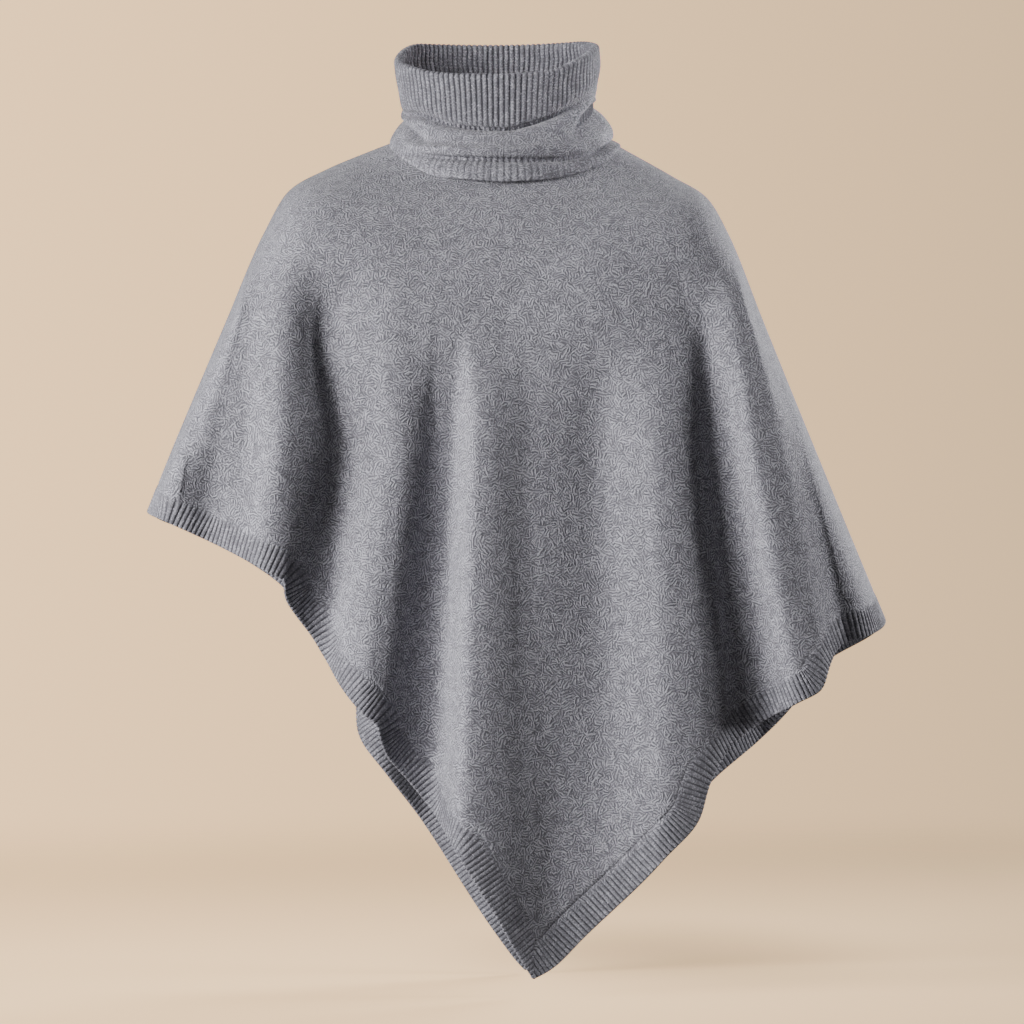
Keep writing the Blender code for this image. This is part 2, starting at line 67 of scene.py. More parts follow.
# ---------------------------------------------------------------- curves through tables
def place_between(at: Array, knots: Array) -> tuple[Array, Array, Array]:
    """Finds where each place lies among the knots.

    Args:
        at: places to find.
        knots: rising knot places.

    Returns:
        The knot before each place, the share of the way on to the next knot, and their distance.
    """
    i = np.clip(np.searchsorted(knots, at, side="right") - 1, 0, len(knots) - 2)
    width = np.diff(knots)[i]
    return i, (at - np.asarray(knots)[i]) / width, width


def monotone_slopes(knots: Array, values: Array) -> Array:
    """Slopes that never overshoot: the harmonic mean of the rises beside a knot, zero at crests and dips.

    Args:
        knots: rising knot places.
        values: values at the knots, along the first axis.

    Returns:
        A slope for each value.
    """
    step = np.diff(knots).reshape(-1, *(1,) * (values.ndim - 1))
    rise = np.diff(values, axis=0) / step
    before, after = rise[:-1], rise[1:]
    both = np.where(before * after > 0, before + after, np.inf)
    return np.concatenate([rise[:1], 2 * before * after / both, rise[-1:]])


def cubic(t: Array, width: Array, start: Array, end: Array, slope_start: Array, slope_end: Array) -> Array:
    """The Hermite cubic from one value and slope to the next.

    Args:
        t: shares of the way, from 0 to 1.
        width: distance between the two knots, for each share.
        start, end: values at the knots.
        slope_start, slope_end: slopes at the knots.

    Returns:
        Values at the shares t.
    """
    t = t.reshape(-1, *(1,) * (start.ndim - 1))
    width = width.reshape(t.shape)
    return (
        (1 + 2 * t) * (1 - t) ** 2 * start
        + t * (1 - t) ** 2 * width * slope_start
        + t**2 * (3 - 2 * t) * end
        + t**2 * (t - 1) * width * slope_end
    )


def smooth_curve(at: Array, knots: Array, values: Array) -> Array:
    """Reads rows of values at places between rising knots, with no overshoot.

    Args:
        at: places to read.
        knots: rising knot places.
        values: one row for each knot.

    Returns:
        One row for each place.
    """
    values = np.asarray(values, float)
    i, t, width = place_between(np.asarray(at, float), np.asarray(knots, float))
    slopes = monotone_slopes(knots, values)
    return cubic(t, width, values[i], values[i + 1], slopes[i], slopes[i + 1])


def unit(vectors: Array) -> Array:
    """Vectors of length one in the same directions."""
    return vectors / np.maximum(np.linalg.norm(vectors, axis=-1, keepdims=True), 1e-12)


def dot(first: Array, second: Array) -> Array:
    """The dot product of two arrays of vectors."""
    return (first * second).sum(axis=-1)


def soft_step(at: Array, low: float, high: float) -> Array:
    """Goes from 0 at low to 1 at high along a smooth S curve."""
    t = np.clip((at - low) / (high - low), 0.0, 1.0)
    return t * t * (3 - 2 * t)


def run_lengths(lines: Array, axis: int = 0) -> Array:
    """The length along lines of points, from the first point of each to every other one.

    Args:
        lines: points, with their three coordinates last.
        axis: the axis that runs along the lines.

    Returns:
        Lengths, one for each point.
    """
    steps = np.linalg.norm(np.diff(lines, axis=axis), axis=-1)
    first = np.zeros_like(np.take(steps, [0], axis=axis))
    return np.concatenate([first, np.cumsum(steps, axis=axis)], axis=axis)


def running_mean(rows: Array, reach: int) -> Array:
    """Each row's mean with its neighbours, from a running sum over the rows with both ends repeated.

    Args:
        rows: values, a row for each place.
        reach: how many rows before and after each one count.

    Returns:
        Means of the same shape.
    """
    padded = np.concatenate([rows[:1].repeat(reach, 0), rows, rows[-1:].repeat(reach, 0)])
    total = np.cumsum(np.concatenate([np.zeros_like(rows[:1]), padded]), axis=0)
    return (total[2 * reach + 1 :] - total[: -2 * reach - 1]) / (2 * reach + 1)


def rib_bumps(count: int, per_rib: int) -> Array:
    """How high points across ribs lie over the knit's middle: a round crest, then a narrow furrow.

    The height over the furrow is one minus a power of the way from the crest.

    Args:
        count: how many points there are.
        per_rib: how many of them each rib has.

    Returns:
        Heights as shares of a rib's height.
    """
    share = np.arange(count) % per_rib / per_rib
    return 1 - np.abs(2 * share - 1) ** RIB_ROUNDNESS - RIB_MIDDLE


# ---------------------------------------------------------------- meshes
def grid_faces(rows: int, columns: int, wraps: bool = False, start: int = 0) -> Array:
    """Quads of a grid of vertices that are numbered row by row.

    Args:
        rows, columns: the grid's size in vertices.
        wraps: whether the last column joins the first one.
        start: the number of the grid's first vertex.

    Returns:
        Vertex numbers, four to a face, anticlockwise as seen from the side where rows go down and columns
        go right.
    """
    number = start + np.arange(rows * columns).reshape(rows, columns)
    if wraps:
        number = np.concatenate([number, number[:, :1]], axis=1)
    corners = number[:-1, :-1], number[1:, :-1], number[1:, 1:], number[:-1, 1:]
    return np.stack(corners, axis=-1).reshape(-1, 4)


def make_piece(
    name: str,
    points: Array,
    faces: list[Array],
    cloth_mm: Array,
    felting: Array,
    material: bpy.types.Material,
) -> bpy.types.Object:
    """Makes a smooth-shaded mesh object with a map of the cloth's own sizes.

    Args:
        name: the piece's name.
        points: vertices in millimetres.
        faces: arrays of vertex numbers, each with its own count of corners.
        cloth_mm: for each vertex, where it lies in the flat cloth, in millimetres.
        felting: for each vertex, how far its knit is felted over, from 0 to 1.
        material: the piece's finish.

    Returns:
        The new object.
    """
    points, cloth_mm = points.reshape(-1, 3), cloth_mm.reshape(-1, 2)
    loops = np.concatenate([block.ravel() for block in faces]).astype(np.int32)
    counts = np.concatenate([np.full(len(block), block.shape[1]) for block in faces])
    starts = np.concatenate([[0], np.cumsum(counts)[:-1]]).astype(np.int32)
    mesh = bpy.data.meshes.new(name)
    mesh.vertices.add(len(points))
    mesh.vertices.foreach_set("co", (points * MM).astype(np.float32).ravel())
    mesh.loops.add(len(loops))
    mesh.loops.foreach_set("vertex_index", loops)
    mesh.polygons.add(len(starts))
    mesh.polygons.foreach_set("loop_start", starts)
    mesh.update(calc_edges=True)
    layer = mesh.uv_layers.new(name=CLOTH_MAP)
    layer.data.foreach_set("uv", cloth_mm[loops].astype(np.float32).ravel())
    felted = mesh.attributes.new(FELTING, "FLOAT", "POINT")
    felted.data.foreach_set("value", felting.astype(np.float32).ravel())
    mesh.materials.append(material)
    mesh.validate()
    mesh.shade_smooth()
    piece = bpy.data.objects.new(name, mesh)
    bpy.context.scene.collection.objects.link(piece)
    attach(piece, "root")
    return piece


def closed_wall(outer: Array, inner: Array, outer_map: Array) -> tuple[Array, list[Array], Array]:
    """Joins an outer grid and an inner one of half its fineness into a closed wall.

    The outer grid has an odd number of rows and of columns. Along each edge two outer steps meet one inner
    step in a face of five corners.

    Args:
        outer: points of the outer surface, rows from top to bottom, columns from left to right as seen
            from outside.
        inner: points of the inner surface at every second row and column of the outer one.
        outer_map: the cloth map of the outer points.

    Returns:
        Points, blocks of faces, and the cloth map of all the points.
    """
    rows, columns = outer.shape[:2]
    few_rows, few_columns = inner.shape[:2]
    base = rows * columns
    out = np.arange(base).reshape(rows, columns)
    ins = base + np.arange(few_rows * few_columns).reshape(few_rows, few_columns)
    blocks = [grid_faces(rows, columns), grid_faces(few_rows, few_columns, start=base)[:, ::-1]]
    edges = (
        (out[0], ins[0], False),
        (out[-1], ins[-1], True),
        (out[:, 0], ins[:, 0], True),
        (out[:, -1], ins[:, -1], False),
    )
    for outside, inside, turned in edges:
        five = np.stack([outside[:-1:2], outside[1::2], outside[2::2], inside[1:], inside[:-1]], axis=-1)
        blocks.append(five[:, ::-1] if turned else five)
    points = np.concatenate([outer.reshape(-1, 3), inner.reshape(-1, 3)])
    cloth = np.concatenate([outer_map.reshape(-1, 2), outer_map[::2, ::2].reshape(-1, 2)])
    return points, blocks, cloth


# ---------------------------------------------------------------- the shape that the cloth hangs in
@dataclass(frozen=True)
class Ring:
    """A ring round the neck: its reach to each side and its height there, in millimetres."""

    name: str
    left: float
    right: float
    front: float
    back: float
    z_left: float
    z_right: float
    z_front: float
    z_back: float


@dataclass(frozen=True)
class Section:
    """How far the plain garment reaches to each side at one height."""

    height: float
    left: float
    right: float
    front: float
    back: float


@dataclass(frozen=True)
class FoldLine:
    """A line down the cloth: a flute's crest, the edge where it turns in, a wall or a trough's foot.

    across is its place in the panel's width, x its place in the front view at the bust, at mid height and
    at the hem, z_hem its height at the hem, and out how far it stands proud of the plain section.
    """

    name: str
    across: float
    x_bust: float
    x_mid: float
    x_hem: float
    z_hem: float
    out_bust: float
    out_mid: float
    out_hem: float


def numbers(rows: tuple, skip: int = 1) -> Array:
    """The numeric fields of a table of dataclass rows, without the first ones."""
    return np.array([[getattr(row, f.name) for f in fields(row)[skip:]] for row in rows], float)


def ring_points(sizes: Array, cos: Array, sin: Array) -> Array:
    """Points of rings, each an oval of four quarter ellipses whose height swings from side to side.

    Args:
        sizes: the ring's four reaches and four heights, last.
        cos, sin: the direction from the ring's middle.

    Returns:
        Points: x and y are reach times direction, z the four heights mixed by the direction's squares.
    """
    left, right, front, back, z_left, z_right, z_front, z_back = np.moveaxis(sizes, -1, 0)
    x = np.where(cos < 0, left, right) * cos
    y = np.where(sin < 0, front, back) * sin
    z = (z_left + z_right) / 2 * cos**2 + (z_front + z_back) / 2 * sin**2
    z = z + (z_right - z_left) / 2 * cos + (z_back - z_front) / 2 * sin
    return np.stack([x, y, z], axis=-1)


BODY_RINGS = (
    Ring("neck seam", 92, 90, 75, 71, 14, 16, -31, 11),
    Ring("collar bone", 133, 127, 93, 90, -1, -4, -45, -7),
    Ring("upper yoke", 178, 167, 109, 106, -19, -26, -64, -31),
    Ring("shoulder", 215, 201, 123, 118, -40, -47, -86, -60),
    Ring("upper arm", 240, 223, 136, 126, -82, -84, -114, -97),
)
SECTIONS = (
    Section(-840, 520, 520, 132, 112),
    Section(-600, 446, 432, 150, 128),
    Section(-467, 398, 379, 160, 136),
    Section(-360, 356, 333, 163, 140),
    Section(-250, 310, 290, 158, 138),
    Section(-170, 277, 257, 150, 134),
)
FRONT_LINES = (
    FoldLine("left side", 0.000, -277, -331, -356, -360, 0, 0, 0),
    FoldLine("arm edge", 0.026, -269, -320, -342, -367, 22, 48, 24),
    FoldLine("arm trough", 0.068, -261, -303, -317, -378, 34, 30, -4),
    FoldLine("arm rise", 0.109, -251, -274, -289, -391, 20, 2, -27),
    FoldLine("arm flute", 0.150, -239, -250, -260, -405, 12, -4, -16),
    FoldLine("arm flute top", 0.183, -215, -220, -232, -420, 10, 15, -1),
    FoldLine("arm flute edge", 0.205, -199, -203, -212, -431, 3, 9, -9),
    FoldLine("first wall", 0.226, -191, -191, -213, -446, -2, 2, -16),
    FoldLine("first trough", 0.243, -185, -179, -204, -462, -5, -7, -28),
    FoldLine("first foot", 0.264, -178, -164, -189, -483, -10, -22, -42),
    FoldLine("second flute rise", 0.288, -168, -155, -176, -506, -12, -25, -43),
    FoldLine("second flute", 0.318, -148, -133, -159, -534, -7, -14, -12),
    FoldLine("second flute top", 0.360, -109, -108, -137, -559, 3, -4, -1),
    FoldLine("second flute edge", 0.384, -96, -99, -124, -569, 4, -5, -5),
    FoldLine("second wall", 0.404, -84, -90, -121, -581, 4, -8, -8),
    FoldLine("second trough", 0.424, -74, -80, -115, -599, 4, -14, -16),
    FoldLine("second foot", 0.445, -65, -70, -99, -619, 2, -22, -30),
    FoldLine("third flute", 0.476, -49, -51, -73, -652, 1, -25, -36),
    FoldLine("third flute top", 0.514, -24, -29, -42, -700, 0, 9, 26),
    FoldLine("third flute edge", 0.534, -10, -15, -20, -735, -1, 8, 23),
    FoldLine("soft trough", 0.556, 3, -2, 4, -776, -2, 3, 15),
    FoldLine("point", 0.582, 23, 23, 28, -818, -1, -7, 3),
    FoldLine("middle swell", 0.602, 46, 39, 49, -806, -1, -9, -6),
    FoldLine("middle hollow", 0.624, 69, 63, 75, -779, -1, -14, -7),
    FoldLine("broad flute rise", 0.646, 94, 92, 100, -755, -1, -20, -5),
    FoldLine("broad flute", 0.675, 123, 126, 131, -725, -2, -6, 0),
    FoldLine("broad flute top", 0.710, 147, 149, 158, -696, -5, 0, 5),
    FoldLine("broad flute edge", 0.740, 170, 174, 190, -662, -9, -6, -1),
    FoldLine("fourth wall", 0.765, 180, 185, 199, -630, -11, -12, -6),
    FoldLine("fourth trough", 0.788, 187, 195, 210, -607, -11, -18, -17),
    FoldLine("fourth foot", 0.812, 194, 205, 225, -588, -9, -24, -34),
    FoldLine("fourth flute", 0.840, 206, 222, 254, -566, 0, -18, -42),
    FoldLine("fourth flute top", 0.868, 222, 241, 285, -548, 14, 8, -9),
    FoldLine("fourth flute edge", 0.896, 231, 264, 310, -535, 20, 9, -9),
    FoldLine("fifth wall", 0.916, 238, 275, 317, -513, 28, 6, -18),
    FoldLine("fifth trough", 0.936, 244, 285, 331, -491, 12, 4, -36),
    FoldLine("arm fold", 0.970, 251, 300, 356, -484, 4, 14, -18),
    FoldLine("right side", 1.000, 257, 311, 379, -467, 0, 0, 0),
)
BACK_LINES = (
    FoldLine("left side", 0.000, -277, -331, -356, -360, 0, 0, 0),
    FoldLine("arm trough", 0.070, -259, -293, -312, -385, 3, -2, -9),
    FoldLine("arm flute", 0.150, -230, -250, -268, -411, 4, 10, 14),
    FoldLine("arm flute edge", 0.220, -198, -210, -224, -444, 2, 6, 10),
    FoldLine("first trough", 0.262, -180, -189, -210, -470, -3, -14, -22),
    FoldLine("first foot", 0.300, -160, -172, -196, -492, -3, -12, -19),
    FoldLine("second flute", 0.340, -138, -152, -180, -513, 1, 2, 4),
    FoldLine("second flute top", 0.372, -122, -137, -165, -540, 2, 10, 14),
    FoldLine("second flute edge", 0.400, -106, -121, -151, -561, 1, 8, 12),
    FoldLine("second wall", 0.417, -98, -114, -151, -588, 0, 1, 0),
    FoldLine("second trough", 0.437, -89, -104, -129, -620, -1, -10, -16),
    FoldLine("third flute", 0.500, -48, -54, -77, -691, 1, 6, 10),
    FoldLine("soft trough", 0.555, -10, -8, -8, -795, 0, -5, -9),
    FoldLine("point", 0.582, 12, 14, 20, -832, 0, -2, -4),
    FoldLine("broad flute", 0.668, 84, 98, 136, -735, 1, 8, 12),
    FoldLine("broad flute edge", 0.738, 144, 156, 188, -690, 1, 6, 12),
    FoldLine("fourth wall", 0.757, 154, 166, 196, -663, -1, -2, -2),
    FoldLine("fourth trough", 0.780, 165, 179, 210, -638, -3, -15, -22),
    FoldLine("fourth rise", 0.815, 181, 200, 235, -616, -1, -8, -12),
    FoldLine("fourth flute", 0.855, 200, 224, 266, -592, 2, 9, 14),
    FoldLine("fourth flute edge", 0.900, 222, 252, 302, -553, 1, 4, 10),
    FoldLine("fifth trough", 0.935, 237, 272, 324, -517, -1, -10, -16),
    FoldLine("right side", 1.000, 257, 311, 379, -467, 0, 0, 0),
)


@dataclass
class ClothSurface:
    """The outer surface of the front or the back, read at places across and down the cloth.

    A level holds, for each place across: the angle from the middle, the plain section's reach to the side
    and its depth, the height, how far the cloth is out, and how flat the section is between the arms. Each
    is a curve through the fold lines, and down the cloth the levels are joined by curves that never
    overshoot.
    """

    facing: Facing
    lines: tuple[FoldLine, ...]
    rings: tuple[Ring, ...] = BODY_RINGS
    sections: tuple[Section, ...] = SECTIONS
    ring_downs: tuple[float, ...] = (0.0, 0.08, 0.16, 0.24, 0.32)
    low_downs: tuple[float, ...] = (0.42, 0.58, 1.0)
    bust_height: float = -170.0
    mid_height: float = -300.0
    flatness: tuple[float, ...] = (0.0, 0.0, 0.15, 0.35, 0.5, 0.5, 0.5, 0.45)
    dense_places: int = 801
    rounding: float = 0.006
    sharpness: float = 0.75
    table: Array = field(init=False)
    table_slopes: Array = field(init=False)
    point: int = field(init=False)

    def __post_init__(self) -> None:
        """Works out the levels once."""
        self.point = next(i for i, line in enumerate(self.lines) if line.name == "point")
        self.table = self._rounded(np.stack([self._line_levels(line) for line in self.lines]))
        self.table_slopes = np.gradient(self.table, 1 / (self.dense_places - 1), axis=0)

    @property
    def point_across(self) -> float:
        """Where the hem's point lies across the cloth."""
        return self.lines[self.point].across

    def _line_levels(self, line: FoldLine) -> Array:
        """One line's values at each level.

        Args:
            line: the fold line.

        Returns:
            Rows of angle, reach, depth, height, out and flatness.
        """
        sign = self.facing.value
        turn = (2 * line.across - 1) * np.pi / 2
        rings = numbers(self.rings)
        heights = ring_points(rings, np.sin(turn), sign * np.cos(turn))[:, 2]
        side, depth = int(turn >= 0), 2 if sign < 0 else 3
        turns = np.full(len(rings), turn)
        upper = np.stack([turns, rings[:, side], rings[:, depth], heights, 0 * heights], 1)
        sections = numbers(self.sections, 0)
        x = np.array([line.x_bust, line.x_mid, line.x_hem])
        height = np.array([self.bust_height, self.mid_height, line.z_hem])
        plain = smooth_curve(height, sections[:, 0], sections[:, 1:])
        reach = np.where(x < 0, plain[:, 0], plain[:, 1])
        share = np.sign(x) if line.across in (0.0, 1.0) else x / reach
        out = np.array([line.out_bust, line.out_mid, line.out_hem])
        lower = np.stack([np.arcsin(share), reach, plain[:, depth], height, out], 1)
        return np.column_stack([np.concatenate([upper, lower]), self.flatness])

    def _rounded(self, lines: Array) -> Array:
        """Reads the levels at even places across, with the edges rounded by a bell-shaped mean.

        The sides stay where they are, and the heights keep most of the hem's corner at its point.

        Args:
            lines: the levels on the fold lines.

        Returns:
            The levels at the dense places.
        """
        knots = np.array([line.across for line in self.lines])
        slopes_in = monotone_slopes(knots, lines)
        slopes_out = slopes_in.copy()
        rise = np.diff(lines[:, -1, 3]) / np.diff(knots)
        slopes_in[self.point, -1, 3] = rise[self.point - 1]
        slopes_out[self.point, -1, 3] = rise[self.point]
        i, t, width = place_between(np.linspace(0, 1, self.dense_places), knots)
        dense = cubic(t, width, lines[i], lines[i + 1], slopes_out[i], slopes_in[i + 1])
        spread = self.rounding * self.dense_places
        reach = int(4 * spread)
        weights = np.exp(-0.5 * (np.arange(-reach, reach + 1) / spread) ** 2)
        before = 2 * dense[:1] - dense[reach:0:-1]
        after = 2 * dense[-1:] - dense[-2 : -reach - 2 : -1]
        padded = np.concatenate([before, dense, after])
        windows = np.lib.stride_tricks.sliding_window_view(padded, len(weights), axis=0)
        rounded = windows @ (weights / weights.sum())
        beside = (np.linspace(0, 1, self.dense_places) - self.point_across) / (2.5 * self.rounding)
        sharp = self.sharpness * np.exp(-(beside**2))[:, None]
        rounded[..., 3] += sharp * (dense[..., 3] - rounded[..., 3])
        return rounded

    def points(self, across: Array, down: Array) -> Array:
        """Points of the surface in millimetres.

        The section is an oval whose depth is multiplied by one plus flatness times a sum of the sine's
        even powers, so that it runs level across the chest and turns in round the arms.

        Args:
            across, down: places in the cloth, of the same shape.

        Returns:
            Points, with their three coordinates last.
        """
        shape = np.shape(across)
        across, down = np.ravel(across), np.ravel(down)
        knots = np.array((*self.ring_downs, *self.low_downs))
        i, t, width = place_between(across, np.linspace(0, 1, self.dense_places))
        ends = self.table[i], self.table[i + 1], self.table_slopes[i], self.table_slopes[i + 1]
        levels = np.moveaxis(cubic(t, width, *ends), 1, 0)
        slopes = monotone_slopes(knots, levels)
        k, t, width = place_between(down, knots)
        own = np.arange(len(down))
        ends = levels[k, own], levels[k + 1, own], slopes[k, own], slopes[k + 1, own]
        turn, reach, depth, height, out, flat = cubic(t, width, *ends).T
        out = out + self._unevenness(across, down)
        square = np.sin(turn) ** 2
        swell = 1 + flat * square * (1 + square * (0.75 + 0.625 * square))
        y = self.facing.value * (depth * np.cos(turn) * swell + out)
        return np.stack([reach * np.sin(turn), y, height], axis=-1).reshape(*shape, 3)

    def _unevenness(self, across: Array, down: Array) -> Array:
        """Slow swells of a millimetre or two that no two flutes share: three sines across and down.

        Args:
            across, down: places in the cloth.

        Returns:
            How far the cloth is out, zero along the side seams and at the neck.
        """
        fade = np.clip(across * (1 - across) * 30, 0, 1) * soft_step(down, 0.1, 0.5)
        turned = across * 41 + self.facing.value
        swell = np.sin(turned + 5 * down) + 0.7 * np.sin(1.73 * turned - 9 * down) * down
        return fade * (0.8 * swell + 0.6 * np.sin(0.61 * turned + 17 * down))

    def slopes(self, across: Array, down: Array) -> tuple[Array, Array]:
        """The surface's change with across and with down, from small steps to both sides.

        Args:
            across, down: places in the cloth.

        Returns:
            Millimetres for each whole width, and for each whole length, of cloth.
        """
        step = 1e-4
        by_across = (self.points(across + step, down) - self.points(across - step, down)) / (2 * step)
        by_down = (self.points(across, down + step) - self.points(across, down - step)) / (2 * step)
        return by_across, by_down

    def outward(self, across: Array, down: Array) -> Array:
        """Unit normals that point out of the garment."""
        return unit(np.cross(*self.slopes(across, down))) * self.facing.value


# ---------------------------------------------------------------- the hem's ribbed trims
@dataclass
class HemTrim:
    """The ribbed trim of one hem edge, knitted outwards from the panel.

    Places in it are found by walks over the cloth: they start on the hem, square to it, one for each
    point of a rib's round, and go up as deep as the trim. The walks beside a side seam start along the
    seam and fan out. Those beside the hem's point keep the heading of the straight hem next to it and end
    at the mitre above the point. There the rows of the trim draw together, apart from the firm ones next
    to the hem.
    """

    surface: ClothSurface
    start: float
    end: float
    depth: float = 30.0
    overlap: float = 3.0
    pitch: float = 4.8
    rib_height: float = 1.0
    thickness: float = 2.6
    firm: float = 3.0
    least_reach: float = 0.3
    tuck: float = 0.9
    fan: float = 45.0
    straight: float = 26.0
    per_rib: int = 8
    step: float = 1.5
    stations: Array = field(init=False)
    along: Array = field(init=False)
    depths: Array = field(init=False)
    across: Array = field(init=False)
    down: Array = field(init=False)

    def __post_init__(self) -> None:
        """Finds the stations along the hem and walks up from them."""
        fine = np.linspace(self.start, self.end, 4000)
        length = run_lengths(self.surface.points(fine, np.ones_like(fine)))
        ribs = round(length[-1] / self.pitch)
        self.along = np.linspace(0, length[-1], ribs * self.per_rib + 1)
        self.stations = np.interp(self.along, length, fine)
        self.depths = np.arange(0, self.depth + self.overlap + self.step, self.step)
        self.across, self.down = self._walk()

    def _walk(self) -> tuple[Array, Array]:
        """Walks from every station, heading as straight on over the cloth as it lets them.

        Returns:
            Places across and down, a row for each depth.
        """
        across, down = self.stations, np.ones_like(self.stations)
        by_across, by_down = self.surface.slopes(across, down)
        normal = unit(np.cross(by_across, by_down))
        square = unit(running_mean(unit(np.cross(normal, by_across)), 2 * self.per_rib))
        to_side, to_point = self.along, self.along[-1] - self.along
        if self.start != 0.0:
            to_side, to_point = to_point, to_side
        level_with = int(np.argmin(np.abs(to_point - self.straight)))
        square = np.where((to_point < self.straight)[:, None], square[level_with], square)
        fan = np.clip(1 - to_side / self.fan, 0, 1)[:, None]
        heading = unit(square * (1 - fan) + unit(by_down) * fan)
        walked = [(across, down)]
        for _ in self.depths[1:]:
            by_across, by_down = self.surface.slopes(across, down)
            normal = unit(np.cross(by_across, by_down))
            heading = unit(heading - dot(heading, normal)[:, None] * normal)
            aa, ab, bb = dot(by_across, by_across), dot(by_across, by_down), dot(by_down, by_down)
            ha, hb = dot(heading, by_across), dot(heading, by_down)
            area = aa * bb - ab**2
            across = np.clip(across - self.step * (ha * bb - hb * ab) / area, 0, 1)
            down = down - self.step * (hb * aa - ha * ab) / area
            walked.append((across, down))
        return np.array([row[0] for row in walked]), np.array([row[1] for row in walked])

    def places(self, depth: Array) -> tuple[Array, Array]:
        """Places across and down at one depth for each station, between the steps of the walks.

        Args:
            depth: depths in millimetres, a row for each line of the trim.

        Returns:
            Places of the same shape.
        """
        k = np.clip((depth / self.step).astype(int), 0, len(self.depths) - 2)
        share = depth / self.step - k
        own = np.arange(len(self.stations))
        across = self.across[k, own] * (1 - share) + self.across[k + 1, own] * share
        return across, self.down[k, own] * (1 - share) + self.down[k + 1, own] * share

    def reach(self, depth: float) -> Array:
        """How deep each walk goes before it meets the mitre.

        Args:
            depth: the depth of a whole walk.

        Returns:
            A depth for each station.
        """
        side = np.sign((self.start + self.end) / 2 - self.surface.point_across)
        inside = (self.across - self.surface.point_across) * side
        crossed = np.argmax(inside[1:] < 0, axis=0) + 1
        own = np.arange(len(self.stations))
        before, after = inside[crossed - 1, own], inside[crossed, own]
        share = np.clip(before / np.maximum(before - after, 1e-9), 0, 1)
        met = self.depths[crossed - 1] + share * self.step
        return np.where((inside[1:] < 0).any(axis=0), np.minimum(met, depth), depth)

    def edge_at(self, depth: float) -> tuple[Array, Array]:
        """The line that lies one depth above the hem, where the walks get as deep as that.

        Args:
            depth: the depth in millimetres.

        Returns:
            Its places across and down.
        """
        whole = self.reach(depth) >= depth
        across, down = self.places(np.full((1, len(self.stations)), depth))
        return across[0, whole], down[0, whole]

    def build(self, name: str, material: bpy.types.Material) -> bpy.types.Object:
        """Makes the trim: ribs over its outer face, a rounded lip at the hem and ribs again inside.

        A line of the trim is given by its depth and how far out of the cloth it lies. The lines go down
        the outer face, round the lip and up the inner face. A rib's height is one minus a power of the
        distance from its crest, a round bump with narrow furrows beside it, and it fades out where the
        trim meets the panel.

        Args:
            name: the piece's name.
            material: its finish.

        Returns:
            The new object.
        """
        surface, half, firm = self.surface, self.thickness / 2, self.firm
        top = self.depth + self.overlap
        fading, plain = np.linspace(top, self.depth - 6, 5), np.linspace(self.depth - 9, firm, 8)
        outer_depths = np.concatenate([fading, plain])
        lip = np.linspace(0, np.pi, 7)
        inner_depths = np.linspace(firm, top, 7)
        depth = np.concatenate([outer_depths, half * (1 - np.sin(lip)), inner_depths])[:, None]
        inward = [0 * outer_depths, half * (np.cos(lip) - 1), 0 * inner_depths - self.thickness]
        rib_side = np.concatenate([0 * outer_depths + 1, np.cos(lip), 0 * inner_depths - 1])[:, None]

        reach = np.maximum(self.reach(top), self.least_reach)
        drawn = firm + (depth - firm) * (reach - firm) / (top - firm)
        squeezed = np.where(reach > firm, drawn, depth * reach / top)
        placed = np.where((depth <= firm) & (reach > firm), depth, squeezed)
        across, down = self.places(placed)
        points, normal = surface.points(across, down), surface.outward(across, down)
        fade = 1 - soft_step(placed, self.depth - 7, self.depth + 0.5)
        sink = soft_step(placed, self.depth - 2, top) * self.tuck * np.sign(rib_side)
        raised = self.rib_height * rib_bumps(len(self.stations), self.per_rib) * fade * rib_side
        points = points + normal * (np.concatenate(inward)[:, None] - sink + raised)[..., None]
        for end, on_side in ((0, self.start == 0.0), (-1, self.end == 1.0)):
            if on_side:
                points[:, end, 1] = surface.facing.value * 0.1
        along = np.arange(len(self.stations)) / self.per_rib * RIB_MAP_PITCH
        over = np.where(rib_side > 0, placed, 2 * top - placed)
        cloth = np.stack(np.broadcast_arrays(along[None], over), axis=-1)
        felting = soft_step(placed, self.depth - 8, self.depth)
        if surface.facing is Facing.BACK:
            points, cloth, felting = points[:, ::-1], cloth[:, ::-1], felting[:, ::-1]
        rows, columns = points.shape[:2]
        faces = grid_faces(rows, columns)
        first, last = np.arange(columns), (rows - 1) * columns + np.arange(columns)
        lid = np.stack([last[:-1], first[:-1], first[1:], last[1:]], axis=-1)
        ends = [np.arange(rows)[None, ::-1] * columns, np.arange(rows)[None] * columns + columns - 1]
        return make_piece(name, points, [faces, lid, *ends], cloth, felting, material)


